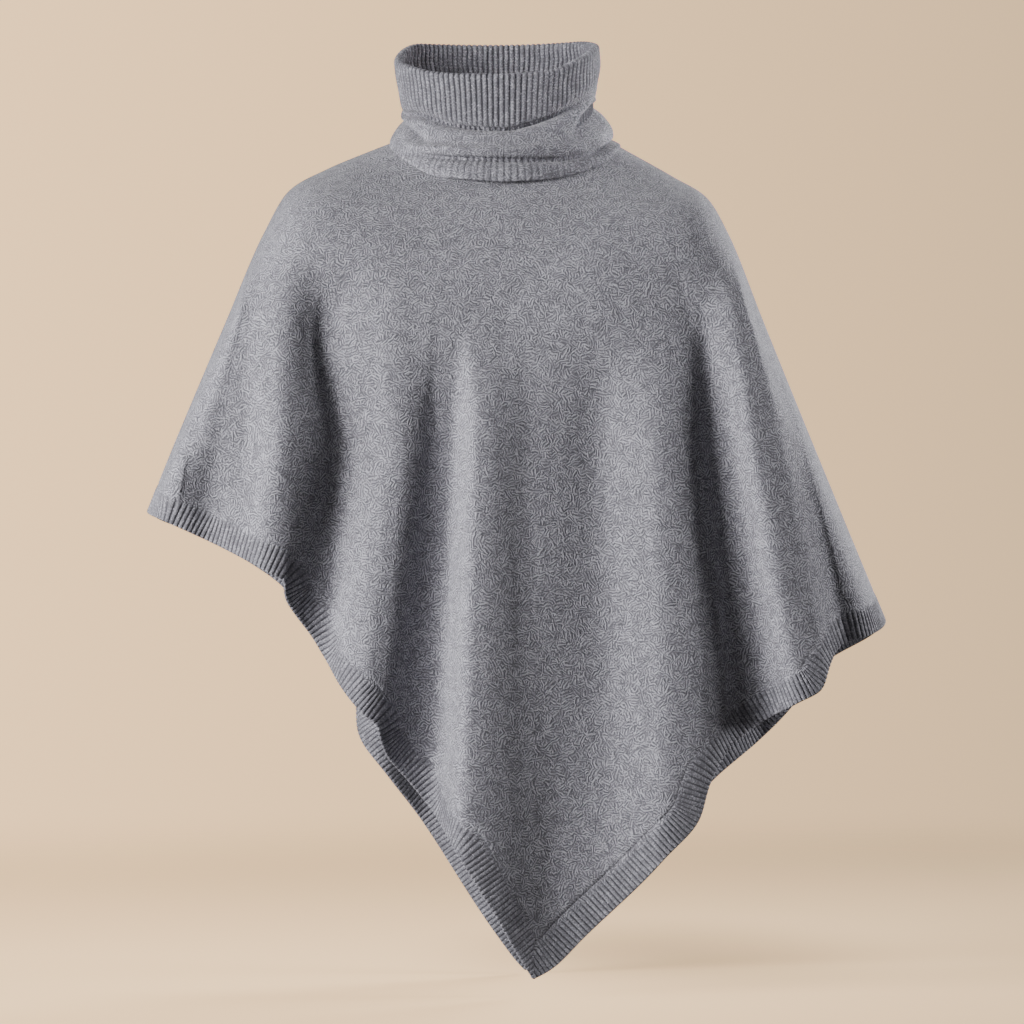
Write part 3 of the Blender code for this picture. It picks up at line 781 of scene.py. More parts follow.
# ---------------------------------------------------------------- front and back
@dataclass
class BodyPanel:
    """The front or the back of the body: felted jersey from the neck seam down to its two hem trims."""

    facing: Facing
    lines: tuple[FoldLine, ...]
    columns: int = 340
    rows: int = 200
    thickness: float = 2.4
    row_spread: float = 0.35
    crowding: float = 14.0
    side_tuck: float = 0.9
    hem_tuck: float = 0.8
    flat: tuple[float, float] = (1.06, 0.86)
    cut_area: float = 0.43
    surface: ClothSurface = field(init=False)
    trims: tuple[HemTrim, HemTrim] = field(init=False)

    def __post_init__(self) -> None:
        """Makes the surface and the two trims' walks."""
        self.surface = ClothSurface(self.facing, self.lines)
        middle = self.surface.point_across
        self.trims = HemTrim(self.surface, 0.0, middle), HemTrim(self.surface, middle, 1.0)

    def _columns(self) -> Array:
        """Places across, crowded where the hem line turns sharply.

        The density is one plus the line's turning for each millimetre, and the columns share it evenly.

        Returns:
            A place for each column, from 0 to 1.
        """
        fine = np.linspace(0, 1, 3001)
        turning = np.zeros(3001)
        for level in (0.62, 0.8, 1.0):
            line = self.surface.points(fine, np.full(3001, level))
            way = unit(np.diff(line, axis=0))
            turned, passed = (np.linalg.norm(np.diff(each, axis=0), axis=1) for each in (way, line))
            turning[1:-1] = np.maximum(turning[1:-1], turned / passed[1:])
        density = 1 + self.crowding * running_mean(np.minimum(turning, 0.2)[:, None], 12)[:, 0]
        total = np.concatenate([[0], np.cumsum((density[1:] + density[:-1]) / 2)])
        return np.interp(np.linspace(0, total[-1], self.columns + 1), total, fine)

    def _lower_edge(self, columns: Array) -> Array:
        """How far down the panel goes at each column: to one millimetre below the trims' own depth.

        The corner above the hem's point is where the lines beside it would meet.

        Args:
            columns: the columns' places across.

        Returns:
            A place down for each column.
        """
        edges = [trim.edge_at(trim.depth - 1.0) for trim in self.trims]
        corners = []
        for (across, down), near, far in ((edges[0], -1, -9), (edges[1], 0, 8)):
            slope = (down[near] - down[far]) / (across[near] - across[far])
            corners.append(down[near] + slope * (self.surface.point_across - across[near]))
        across = np.concatenate([edges[0][0], [self.surface.point_across], edges[1][0]])
        down = np.concatenate([edges[0][1], [np.mean(corners)], edges[1][1]])
        return np.interp(columns, across, down)

    def build(self, name: str, material: bpy.types.Material) -> bpy.types.Object:
        """Makes the panel as a closed wall, its inner face half as fine as its outer one.

        Args:
            name: the piece's name.
            material: its finish.

        Returns:
            The new object.
        """
        columns = self._columns()
        row = np.linspace(0, 1, self.rows + 1)[:, None]
        share = row * (1 - self.row_spread) + row**2 * self.row_spread
        down = share * self._lower_edge(columns)
        across = np.broadcast_to(columns, down.shape)
        outer = self.surface.points(across, down)
        normal = self.surface.outward(across, down)
        beside = np.minimum(run_lengths(outer, 1), run_lengths(outer[:, ::-1], 1)[:, ::-1])
        above = run_lengths(outer[::-1], 0)[::-1]
        at_sides, at_hem = 1 - soft_step(beside, 0, 5), 1 - soft_step(above, 0, 4)
        tucked = self.side_tuck * at_sides + self.hem_tuck * at_hem
        outer = outer - normal * tucked[..., None]
        inner = (outer - normal * self.thickness)[::2, ::2]
        for wall in (outer, inner):
            wall[:, 0, 1] = wall[:, -1, 1] = self.facing.value * 0.1
        along = run_lengths(outer, 1)
        middle = np.argmin(np.abs(columns - self.surface.point_across))
        cloth = np.stack([along - along[:, middle : middle + 1], run_lengths(outer, 0)], axis=-1)
        if self.facing is Facing.BACK:
            outer, inner, cloth = outer[:, ::-1], inner[:, ::-1], cloth[:, ::-1]
        points, faces, cloth = closed_wall(outer, inner, cloth)
        return make_piece(name, points, faces, cloth, np.ones(len(points)), material)


# ---------------------------------------------------------------- the cowl collar
TURNS = (0, 40, 90, 140, 180, 195, 210, 225, 240, 255, 270, 285, 300, 315, 330, 345)


@dataclass(frozen=True)
class CollarLine:
    """A line round the collar, from its right side over the back, the left side and the front.

    out is how far it stands out from the plain neck, and height its height, at each of the turns. rib is
    how strongly the ribs show there, and cut how deep a sharp crease follows the line at each turn.
    """

    name: str
    rib: float
    out: tuple[float, ...]
    height: tuple[float, ...]
    cut: tuple[float, ...] = (0.0,) * len(TURNS)


COLLAR_LINES = (
    #     0    40    90   140   180   195   210   225   240   255   270   285   300   315   330   345
    CollarLine("rim", 1.0,
        (4.0,  6.0,  8.0,  8.0,  6.5,  7.0,  8.0,  8.5,  9.0,  9.0,  9.0,  9.0,  8.0,  7.0,  5.5,  4.5),
        (102,  108,  107,  106,   88,   82,   77,   71,   67,   66,   66,   67,   71,   80,   89,   98)),
    CollarLine("upper tube", 1.0,
        (5.0,  4.0,  5.0,  5.0,  5.0,  5.0,  5.5,  5.5,  5.5,  5.5,  5.5,  5.5,  5.0,  4.5,  4.5,  5.0),
        ( 84,   92,   93,   90,   74,   68,   62,   56,   51,   48,   48,   50,   56,   65,   75,   82)),
    CollarLine("lower tube", 1.0,
        (2.0,  1.0,  0.0,  0.0,  1.5,  2.0,  3.0,  3.0,  3.0,  3.5,  3.5,  3.5,  3.5,  4.0,  4.0,  3.0),
        ( 66,   76,   79,   74,   56,   51,   46,   38,   32,   29,   28,   32,   39,   50,   60,   65)),
    CollarLine("tube foot", 0.45,
        (1.0, -1.0, -1.5, -1.0,  0.0,  0.0,  0.0,  0.5,  1.0,  1.5,  1.5,  1.5,  1.5,  2.0,  2.0,  1.5),
        ( 57,   68,   71,   65,   45,   39,   38,   32,   24,   20,   19,   24,   32,   43,   53,   59)),
    CollarLine("front crease", 0.12,
        (0.5, -1.5, -2.0, -1.5, -1.0, -2.0, -2.5, -2.5, -2.5, -2.5, -2.5, -2.5, -2.0, -1.0, -0.5,  0.5),
        ( 53,   65,   68,   61,   39,   34,   34,   28,   21,   17,   16,   21,   29,   38,   48,   55),
        (0.0,  0.0,  0.0,  0.0,  1.5,  5.5,  7.5,  6.0,  4.0,  3.2,  3.2,  3.8,  4.5,  3.5,  1.0,  0.0)),
    CollarLine("roll top", 0.2,
        (1.0, -1.0, -1.5, -1.0,  0.0,  1.5,  2.5,  4.0,  8.0, 10.0, 11.0, 10.5,  9.0,  7.0,  5.0,  2.0),
        ( 50,   62,   65,   57,   36,   30,   28,   22,   16,   13,   12,   17,   25,   33,   42,   50)),
    CollarLine("back crease", 0.15,
        (-3.0, -4.0, -5.0, -5.0, -3.0, -3.0, -1.0,  7.0, 17.0, 20.0, 21.0, 19.0, 16.0,  8.0, -4.0, -5.0),
        ( 43,   53,   56,   48,   28,   24,   17,    7,    2,    0,   -1,    2,    7,   14,   28,   38),
        (3.0,  4.0,  4.0,  4.0,  3.0,  3.0,  3.0,  1.0,  0.0,  0.0,  0.0,  0.0,  0.0,  4.0,  9.0,  5.0)),
    CollarLine("belly top", 0.12,
        (9.0,  6.0,  5.0,  6.0,  4.0,  5.0,  8.0, 15.0, 22.0, 24.0, 25.0, 24.0, 21.0, 16.0,  7.0,  5.0),
        ( 33,   44,   46,   38,   21,   17,   10,    2,   -1,   -3,   -4,   -2,    1,    6,   18,   26)),
    CollarLine("belly", 0.12,
        (18.0, 18.0, 19.0, 17.0, 10.0, 11.0, 14.0, 19.0, 24.0, 26.0, 26.5, 25.5, 24.0, 22.0, 18.0, 16.0),
        ( 19,   30,   33,   24,   12,    9,    3,   -2,   -5,   -7,   -8,   -7,   -5,    0,    8,   15)),
    CollarLine("belly foot", 0.2,
        (18.0, 19.0, 21.0, 19.0, 11.0, 12.0, 14.5, 18.0, 22.0, 23.0, 23.0, 22.5, 22.0, 22.0, 20.0, 18.0),
        ( 12,   23,   26,   17,    9,    6,   -1,   -6,  -10,  -12,  -13,  -13,  -11,   -6,    1,    8)),
    CollarLine("lower crease", 0.4,
        (14.5, 15.0, 16.0, 15.0, 11.0, 12.0, 14.5, 17.0, 17.0, 16.5, 16.5, 16.5, 16.5, 17.0, 16.0, 15.0),
        (9.5,   20,   23,   14,    7,    4,   -4,   -9,  -12,  -14,  -15.5, -15.5, -14, -9.5, -3,  5.5),
        (2.5,  2.5,  2.5,  2.0,  0.0,  0.0,  1.0,  2.5,  4.0,  5.0,  5.5,  6.0,  6.2,  6.2,  5.5,  4.0)),
    CollarLine("band top", 0.35,
        (20.0, 20.0, 21.0, 19.0, 11.5, 12.5, 15.0, 18.5, 22.0, 23.5, 24.0, 24.0, 23.0, 22.0, 21.0, 20.5),
        (7.5,   18,   21,   11,    5,    2,   -7,  -13,  -17,  -19,  -20,  -20,  -18,  -13,   -6,    3)),
    CollarLine("band belly", 0.4,
        (25.0, 24.0, 26.0, 24.0, 12.0, 13.0, 16.0, 21.0, 26.0, 29.0, 30.0, 29.0, 27.0, 26.0, 25.5, 25.0),
        (5.5,   13,   17,    8,    3,    0,  -10,  -18,  -24,  -27,  -28,  -28,  -25,  -19,  -10,    1)),
    CollarLine("band foot", 0.4,
        (25.0, 25.0, 24.0, 23.0, 11.0, 12.0, 15.0, 20.0, 26.0, 29.0, 30.0, 29.0, 27.0, 26.0, 26.0, 25.5),
        (3.0,    9,   13,    4,    0,   -3,  -13,  -23,  -31,  -34,  -36,  -35,  -31,  -24,  -14,   -3)),
    CollarLine("band tuck", 0.0,
        (15.0, 16.0, 16.0, 15.0,  3.0,  4.0,  6.0, 11.0, 17.0, 20.0, 21.0, 20.0, 18.0, 17.0, 17.0, 16.0),
        (5.0,   10,   14,    5,    3,    0,  -11,  -22,  -30,  -34,  -36,  -34,  -30,  -22,  -11,    0)),
    CollarLine("neck seam", 0.0,
        (1.0,  3.0,  6.0,  2.0, -10., -9.0, -6.0,  0.0,  6.0,  9.0, 10.0,  9.0,  7.0,  4.0,  2.0,  1.0),
        ( 16,   14,   11,   12,   14,   12,    6,   -6,  -18,  -27,  -31,  -27,  -18,   -6,    6,   14)),
)


def round_the_neck(values: tuple[float, ...], turns: Array) -> Array:
    """Reads a value for any turn from the values at the table's turns, on a closed smooth curve.

    Args:
        values: a value for each of the table's turns.
        turns: angles in radians.

    Returns:
        A value for each angle.
    """
    knots = np.array([t - 360 for t in TURNS[-2:]] + list(TURNS) + [t + 360 for t in TURNS[:3]], float)
    around = np.array([*values[-2:], *values, *values[:3]], float)
    return smooth_curve(np.degrees(turns) % 360, knots, around)


@dataclass
class CowlCollar:
    """A ribbed tube of one knitted piece, slouched round the neck into rolls and a foot band."""

    lines: tuple[CollarLine, ...] = COLLAR_LINES
    left: float = 104.0
    right: float = 90.0
    depth: float = 65.0
    ribs: int = 104
    per_rib: int = 6
    pitch: float = 5.3
    rib_height: float = 1.4
    thickness: float = 3.4
    rim_radius: float = 3.6
    outer_rows: int = 96
    inner_rows: int = 46
    crease_width: float = 1.6
    rim_out: float = 9.0
    rim_blend: tuple[float, float] = (2, 16)
    tube_length: float = 44.0
    inner_rib: float = 1.5
    flat: tuple[float, float] = (0.56, 0.152)

    def _turns(self) -> Array:
        """Angles for the columns, evenly spaced along the rim's plan.

        Returns:
            Rising angles in radians.
        """
        fine = np.linspace(0, 2 * np.pi, 4001)
        rim = np.stack([np.where(np.cos(fine) < 0, self.left, self.right) * np.cos(fine),
                        (self.depth + self.rim_out) * np.sin(fine)], axis=-1)
        length = run_lengths(rim)
        count = self.ribs * self.per_rib
        return np.interp((np.arange(count) + 0.5) / count * length[-1], length, fine)

    def _profile(self, turns: Array) -> tuple[Array, Array, Array]:
        """The smooth outer surface, down the collar's own cloth.

        Every line is a closed curve round the neck. Down each column the lines are joined by a curve
        whose slope at a line comes from its two neighbours, with the steps as long as the cloth, and the
        sharp creases are pressed in beside their lines by a falling exponential of the distance.

        Args:
            turns: the columns' angles.

        Returns:
            Points, the cloth length down each column, and the rib strength of each row.
        """
        cos, sin = np.cos(turns), np.sin(turns)
        knots = []
        for line in self.lines:
            out, height = round_the_neck(line.out, turns), round_the_neck(line.height, turns)
            reach = np.where(cos < 0, self.left, self.right) + out
            knots.append(np.stack([reach * cos, (self.depth + out) * sin, height], axis=-1))
        knots = np.array(knots)
        step = np.maximum(np.linalg.norm(np.diff(knots, axis=0), axis=-1).mean(axis=1), 2.0)
        places = np.concatenate([[0], np.cumsum(step)])
        rise = np.diff(knots, axis=0) / step[:, None, None]
        middle = (rise[:-1] * step[1:, None, None] + rise[1:] * step[:-1, None, None])
        slopes = np.concatenate([rise[:1], middle / (step[1:] + step[:-1])[:, None, None], rise[-1:]])
        rows = np.linspace(0, places[-1], self.outer_rows)
        i, t, width = place_between(rows, places)
        points = cubic(t, width, knots[i], knots[i + 1], slopes[i], slopes[i + 1])
        rib = smooth_curve(rows, places, np.array([line.rib for line in self.lines]))
        normal = self._normals(points)
        for line, place in zip(self.lines, places):
            if any(line.cut):
                near = np.exp(-np.abs(rows - place) / self.crease_width)[:, None]
                points = points - normal * (near * round_the_neck(line.cut, turns))[..., None]
        return points, run_lengths(points, 0), rib

    @staticmethod
    def _normals(points: Array) -> Array:
        """Unit normals of the tube, out of the garment, from the steps to neighbouring points."""
        by_turn = np.roll(points, -1, axis=1) - np.roll(points, 1, axis=1)
        return unit(np.cross(np.gradient(points, axis=0), by_turn))

    def build(self, name: str, material: bpy.types.Material) -> bpy.types.Object:
        """Makes the collar: outside, round rim and inside in one closed skin, with its ribs.

        The rim is half a circle from the outer face to the inner one. The inside follows the tube for its
        length and then goes straight down to the neck seam, behind the rolls.

        Args:
            name: the piece's name.
            material: its finish.

        Returns:
            The new object.
        """
        turns = self._turns()
        outer, down, rib = self._profile(turns)
        normal = self._normals(outer)
        swell = 2 * self.rim_radius - self.thickness
        thick = self.thickness + swell * (1 - soft_step(down[:, :1], *self.rim_blend))
        inner_all = outer - normal * thick[..., None]
        tube = int(np.argmax(down.mean(axis=1) > self.tube_length))
        foot = outer[-1] - self._plan_normal(turns) * self.thickness
        share = soft_step(np.linspace(0, 1, self.inner_rows - tube // 2)[1:, None, None], -0.3, 1.3)
        straight = inner_all[tube] * (1 - share) + foot * share
        inner = np.concatenate([inner_all[1:tube:2], straight])
        lip_turn = np.linspace(0, np.pi, 8)[1:-1, None, None]
        centre = (outer[0] + inner_all[0]) / 2
        half = (outer[0] - inner_all[0]) / 2
        upward = unit(outer[0] - outer[1])
        radius = np.linalg.norm(half, axis=-1, keepdims=True)
        lip = centre + half * np.cos(lip_turn) + upward * radius * np.sin(lip_turn)
        rows = np.concatenate([inner[::-1], lip[::-1], outer])
        strength = np.concatenate([np.full(len(inner), self.inner_rib), np.full(len(lip), 1.0), rib])
        strength[0] = 0.0
        out = self._normals(rows)
        ribs = rib_bumps(len(turns), self.per_rib)
        points = rows + out * (ribs[None] * strength[:, None] * self.rib_height)[..., None]
        along = np.arange(len(turns)) / self.per_rib * RIB_MAP_PITCH
        v = run_lengths(rows, 0)
        cloth = np.stack(np.broadcast_arrays(along[None], v), axis=-1)
        felting = np.broadcast_to(1 - np.clip(strength, 0, 1)[:, None], v.shape)
        return self._closed(name, points, cloth, felting, material)

    def _plan_normal(self, turns: Array) -> Array:
        """Level unit normals of the neck's plan."""
        reach = np.where(np.cos(turns) < 0, self.left, self.right)
        return unit(np.stack([np.cos(turns) / reach, np.sin(turns) / self.depth, 0 * turns], axis=-1))

    def _closed(
        self, name: str, points: Array, cloth: Array, felting: Array, material: bpy.types.Material
    ) -> bpy.types.Object:
        """Closes the skin between its first and its last row and makes the piece.

        Columns run anticlockwise from above, which is left to right as seen from outside.

        Args:
            name: the piece's name.
            points: the skin, a row for each line round the neck.
            cloth: its cloth map.
            felting: how far it is felted over.
            material: its finish.

        Returns:
            The new object.
        """
        rows, columns = points.shape[:2]
        faces = grid_faces(rows, columns, wraps=True)
        first, last = np.arange(columns), (rows - 1) * columns + np.arange(columns)
        seam = np.stack([last, first, np.roll(first, -1), np.roll(last, -1)], axis=-1)
        return make_piece(name, points, [faces, seam], cloth, felting, material)


# ---------------------------------------------------------------- finishes
def linear(hex_colour: str) -> tuple[float, float, float, float]:
    """Turns an sRGB hex colour into linear light, with full opacity."""
    levels = [int(hex_colour[i : i + 2], 16) / 255 for i in (1, 3, 5)]
    return (*[c / 12.92 if c <= 0.04045 else ((c + 0.055) / 1.055) ** 2.4 for c in levels], 1.0)


def add_node(
    tree: bpy.types.NodeTree, kind: str, settings: dict | None = None, **inputs: object
) -> bpy.types.Node:
    """Adds a node with its settings, values and links.

    Args:
        tree: the node tree.
        kind: the node's type, without the word ShaderNode in front.
        settings: attributes to set on the node.
        inputs: for each input, by name or as i0, i1 ... by number, a value, an output to link from, or a
            node whose first output it is.

    Returns:
        The new node.
    """
    node = tree.nodes.new(f"ShaderNode{kind}")
    for key, value in (settings or {}).items():
        setattr(node, key, value)
    for key, value in inputs.items():
        socket = node.inputs[int(key[1:]) if key[1:].isdigit() else key.replace("_", " ")]
        if isinstance(value, bpy.types.Node):
            value = value.outputs[0]
        if isinstance(value, bpy.types.NodeSocket):
            tree.links.new(value, socket)
        else:
            socket.default_value = value
    return node


# settings that several nodes share
TIMES = {"operation": "MULTIPLY"}
TIMES_PLUS = {"operation": "MULTIPLY_ADD"}
ADD = {"operation": "ADD"}
MINUS = {"operation": "SUBTRACT"}
OVER = {"operation": "DIVIDE"}
CROSS = {"operation": "CROSS_PRODUCT"}
DOT = {"operation": "DOT_PRODUCT"}
LENGTH = {"operation": "LENGTH"}
SOFT = {"interpolation_type": "SMOOTHSTEP"}
NUMBER = {"data_type": "FLOAT"}
COLOUR = {"data_type": "RGBA"}
WAVE_WIDTH = 0.314  # how wide one wave of a wave texture is at a scale of one


def empty_tree(owner: bpy.types.Material | bpy.types.World) -> bpy.types.NodeTree:
    """Turns an owner's nodes on and takes the first ones out.

    Args:
        owner: a new material or world.

    Returns:
        Its empty node tree.
    """
    owner.use_nodes = True
    owner.node_tree.nodes.clear()
    return owner.node_tree


@dataclass(frozen=True)
class HeatheredWool:
    """Heathered grey wool knit with a felted, lightly brushed face.

    The face shows as short curled strands that lie side by side in small patches, each patch its own
    way, a few paler hairs, and mottled light and dark from the blended fibres. Where the knit is ribbed
    the strands give way to upright ribs of small V stitches with furrows between them, which get a painted
    shade. Real fibres are finer: the strands are drawn as coarse as they look. Pitches and sizes are in
    millimetres.
    """

    name: str
    body: str = "#7F7E85"
    shade: str = "#5F5E64"
    glint: str = "#BEBDC5"
    roughness: float = 0.96
    ior: float = 1.54
    strand_pitch: float = 2.7
    patch: float = 7.0
    strand_depth: float = 0.5
    stitch_pitch: float = 3.5
    stitch_slant: float = -1.6
    warp_size: float = 9.0
    warp: tuple[float, float, float] = (4.0, 4.0, 4.0)
    weave_size: float = 5.0
    layer_shift: tuple[float, float, float] = (217.3, 91.7, 53.1)
    patch_shift: tuple[float, float, float] = (400.0, 400.0, 0.0)
    mottle_size: float = 9.0
    hair_size: float = 1.8

    def strands(
        self, tree: bpy.types.NodeTree, place: bpy.types.NodeSocket, patch: float
    ) -> bpy.types.NodeSocket:
        """Adds one layer of strands: waves turned another way in each patch of a net of cells.

        Inside a patch a place is measured from the patch's middle along two directions that lie in the
        cloth, one level and one up, so that the strands keep their width however the cloth hangs.

        Args:
            tree: the material's node tree.
            place: places in millimetres.
            patch: how wide a patch is in millimetres.

        Returns:
            The strands, from 0 between them to 1 on them.
        """
        add = partial(add_node, tree)
        normal = add("NewGeometry").outputs["Normal"]
        sideways = add("VectorMath", CROSS, i0=(0.0, 0.0, 1.0), i1=normal)
        level = add("VectorMath", {"operation": "NORMALIZE"}, i0=sideways)
        upward = add("VectorMath", CROSS, i0=normal, i1=level)
        cells = add("TexVoronoi", Vector=place, Scale=1 / patch)
        local = add("VectorMath", MINUS, i0=place, i1=cells.outputs["Position"])
        along = add("VectorMath", DOT, i0=local, i1=level).outputs["Value"]
        above = add("VectorMath", DOT, i0=local, i1=upward).outputs["Value"]
        in_cloth = add("CombineXYZ", i0=along, i1=above)
        own = cells.outputs["Color"]
        apart = add("VectorMath", TIMES_PLUS, i0=own, i1=self.patch_shift, i2=in_cloth)
        turn = add("Math", TIMES, i0=own, i1=40.0)
        turned = add("VectorRotate", {"rotation_type": "Z_AXIS"}, Vector=apart, Angle=turn)
        scale = WAVE_WIDTH / self.strand_pitch
        waves = add("TexWave", Vector=turned, Scale=scale, Distortion=3.0, Detail=1.0, Detail_Scale=1.3)
        return waves.outputs["Fac"]

    def felted_face(self, tree: bpy.types.NodeTree, place: bpy.types.NodeSocket) -> bpy.types.Node:
        """Adds the felted face: two layers of strands that lie over each other in turn, calmer in parts.

        Args:
            tree: the material's node tree.
            place: places in millimetres.

        Returns:
            A node that gives the strands' height, from 0 to 1.
        """
        add = partial(add_node, tree)
        noise = add("TexNoise", Vector=place, Scale=1 / self.warp_size, Detail=1.0, Roughness=0.5)
        warp = noise.outputs["Color"]
        pushed = add("VectorMath", TIMES_PLUS, i0=warp, i1=self.warp, i2=place).outputs[0]
        aside = add("VectorMath", ADD, i0=pushed, i1=self.layer_shift).outputs[0]
        over = self.strands(tree, pushed, self.patch)
        under = self.strands(tree, aside, self.patch * 0.8)
        weave = add("TexNoise", Vector=aside, Scale=1 / self.weave_size, Detail=1.0).outputs["Fac"]
        edge = add("MapRange", SOFT, i0=weave, i1=0.42, i2=0.58)
        layers = add("Mix", NUMBER, i0=edge, i2=over, i3=under)
        calm = add("MapRange", SOFT, i0=weave, i1=0.35, i2=0.6, i3=0.45, i4=1.0)
        return add("Mix", NUMBER, i0=calm, i2=0.47, i3=layers)

    def ribbed_face(self, tree: bpy.types.NodeTree) -> bpy.types.Node:
        """Adds the ribs: crests with V stitches, which are a sine up the rib, and furrows, low enough to
        take a painted shade.

        Args:
            tree: the material's node tree.

        Returns:
            A node that gives the ribs' height, from below 0 in a furrow to 0.6 on a stitch.
        """
        add = partial(add_node, tree)
        cloth = add("SeparateXYZ", i0=add("UVMap", {"uv_map": CLOTH_MAP})).outputs
        ribs = add("Math", OVER, i0=cloth[0], i1=RIB_MAP_PITCH)
        share = add("Math", {"operation": "FRACT"}, i0=ribs)
        aslant = add("Math", MINUS, i0=share, i1=0.5)
        off_crest = add("Math", {"operation": "ABSOLUTE"}, i0=aslant)
        rows = add("Math", OVER, i0=cloth[1], i1=self.stitch_pitch)
        leg = add("Math", TIMES_PLUS, i0=off_crest, i1=self.stitch_slant, i2=rows)
        phase = add("Math", TIMES, i0=leg, i1=2 * np.pi)
        stitch = add("Math", {"operation": "SINE"}, i0=phase)
        crest = add("Math", TIMES_PLUS, i0=stitch, i1=0.12, i2=0.5)
        # painted shade: the furrows go below 0, which the tone ramp turns dark
        furrow = add("MapRange", SOFT, i0=off_crest, i1=0.28, i2=0.46, i3=1.0, i4=-0.6)
        return add("Math", TIMES, i0=furrow, i1=crest)

    def build(self) -> bpy.types.Material:
        """Builds the material: height and mottling set the tone, from shade over body to glint, so the low
        rib furrows get a painted shade.

        Returns:
            The new material.
        """
        material = bpy.data.materials.new(self.name)
        tree = empty_tree(material)
        add = partial(add_node, tree)
        metres = add("TexCoord").outputs["Object"]
        place = add("VectorMath", {"operation": "SCALE"}, i0=metres, Scale=1 / MM).outputs[0]
        felting = add("Attribute", {"attribute_name": FELTING}).outputs["Fac"]
        strands = self.felted_face(tree, place)
        fuzzy = add("Mix", NUMBER, i0=0.3, i2=self.ribbed_face(tree), i3=strands)
        blended = add("Mix", NUMBER, i0=felting, i2=fuzzy, i3=strands)
        mottle = add("TexNoise", Vector=place, Scale=1 / self.mottle_size, Detail=5.0, Roughness=0.75)
        hair = add("TexNoise", Vector=place, Scale=1 / self.hair_size, Detail=1.0, Roughness=0.5)
        fleck = add("MapRange", i0=hair.outputs["Fac"], i1=0.62, i2=0.74)
        strong = add("Math", TIMES_PLUS, i0=blended, i1=0.86, i2=-0.325)
        height = add("Math", TIMES_PLUS, i0=mottle.outputs["Fac"], i1=1.1, i2=strong)
        # the height also picks the colour, so the rib furrows come out in painted shade
        tone = add("ValToRGB", i0=height)
        ramp = tone.color_ramp
        ramp.elements[0].position, ramp.elements[0].color = 0.25, linear(self.shade)
        ramp.elements[1].position, ramp.elements[1].color = 1.0, linear(self.glint)
        ramp.elements.new(0.65).color = linear(self.body)
        colour = add("Mix", COLOUR, i0=fleck, i6=tone, i7=linear(self.glint)).outputs[2]
        bump = add("Bump", Strength=1.0, Distance=self.strand_depth * MM, Height=height)
        shader = add("BsdfPrincipled", Base_Color=colour, Roughness=self.roughness, IOR=self.ior,
                     Sheen_Weight=0.2, Sheen_Roughness=0.5, Normal=bump)
        add("OutputMaterial", Surface=shader)
        return material


# ---------------------------------------------------------------- studio
def put_in_scene(name: str, data: bpy.types.ID) -> bpy.types.Object:
    """Makes an object of a mesh, a light or a camera and links it.

    Args:
        name: the object's name.
        data: what it holds.

    Returns:
        The new object.
    """
    holder = bpy.data.objects.new(name, data)
    bpy.context.scene.collection.objects.link(holder)
    return holder


@dataclass(frozen=True)
class Lamp:
    """A square soft light: its place and target in metres, side in metres, watts and spread in degrees."""

    name: str
    place: tuple[float, float, float]
    target: tuple[float, float, float]
    size: float
    power: float
    spread: float
    colour: str = "#FEFDFF"

    def hang(self) -> None:
        """Hangs the lamp so that it faces its target."""
        lamp = bpy.data.lights.new(self.name, "AREA")
        lamp.size, lamp.energy, lamp.color = self.size, self.power, linear(self.colour)[:3]
        lamp.spread = np.radians(self.spread)
        holder = put_in_scene(self.name, lamp)
        holder.location = self.place
        way = Vector(self.target) - Vector(self.place)
        holder.rotation_euler = way.to_track_quat("-Z", "Y").to_euler()


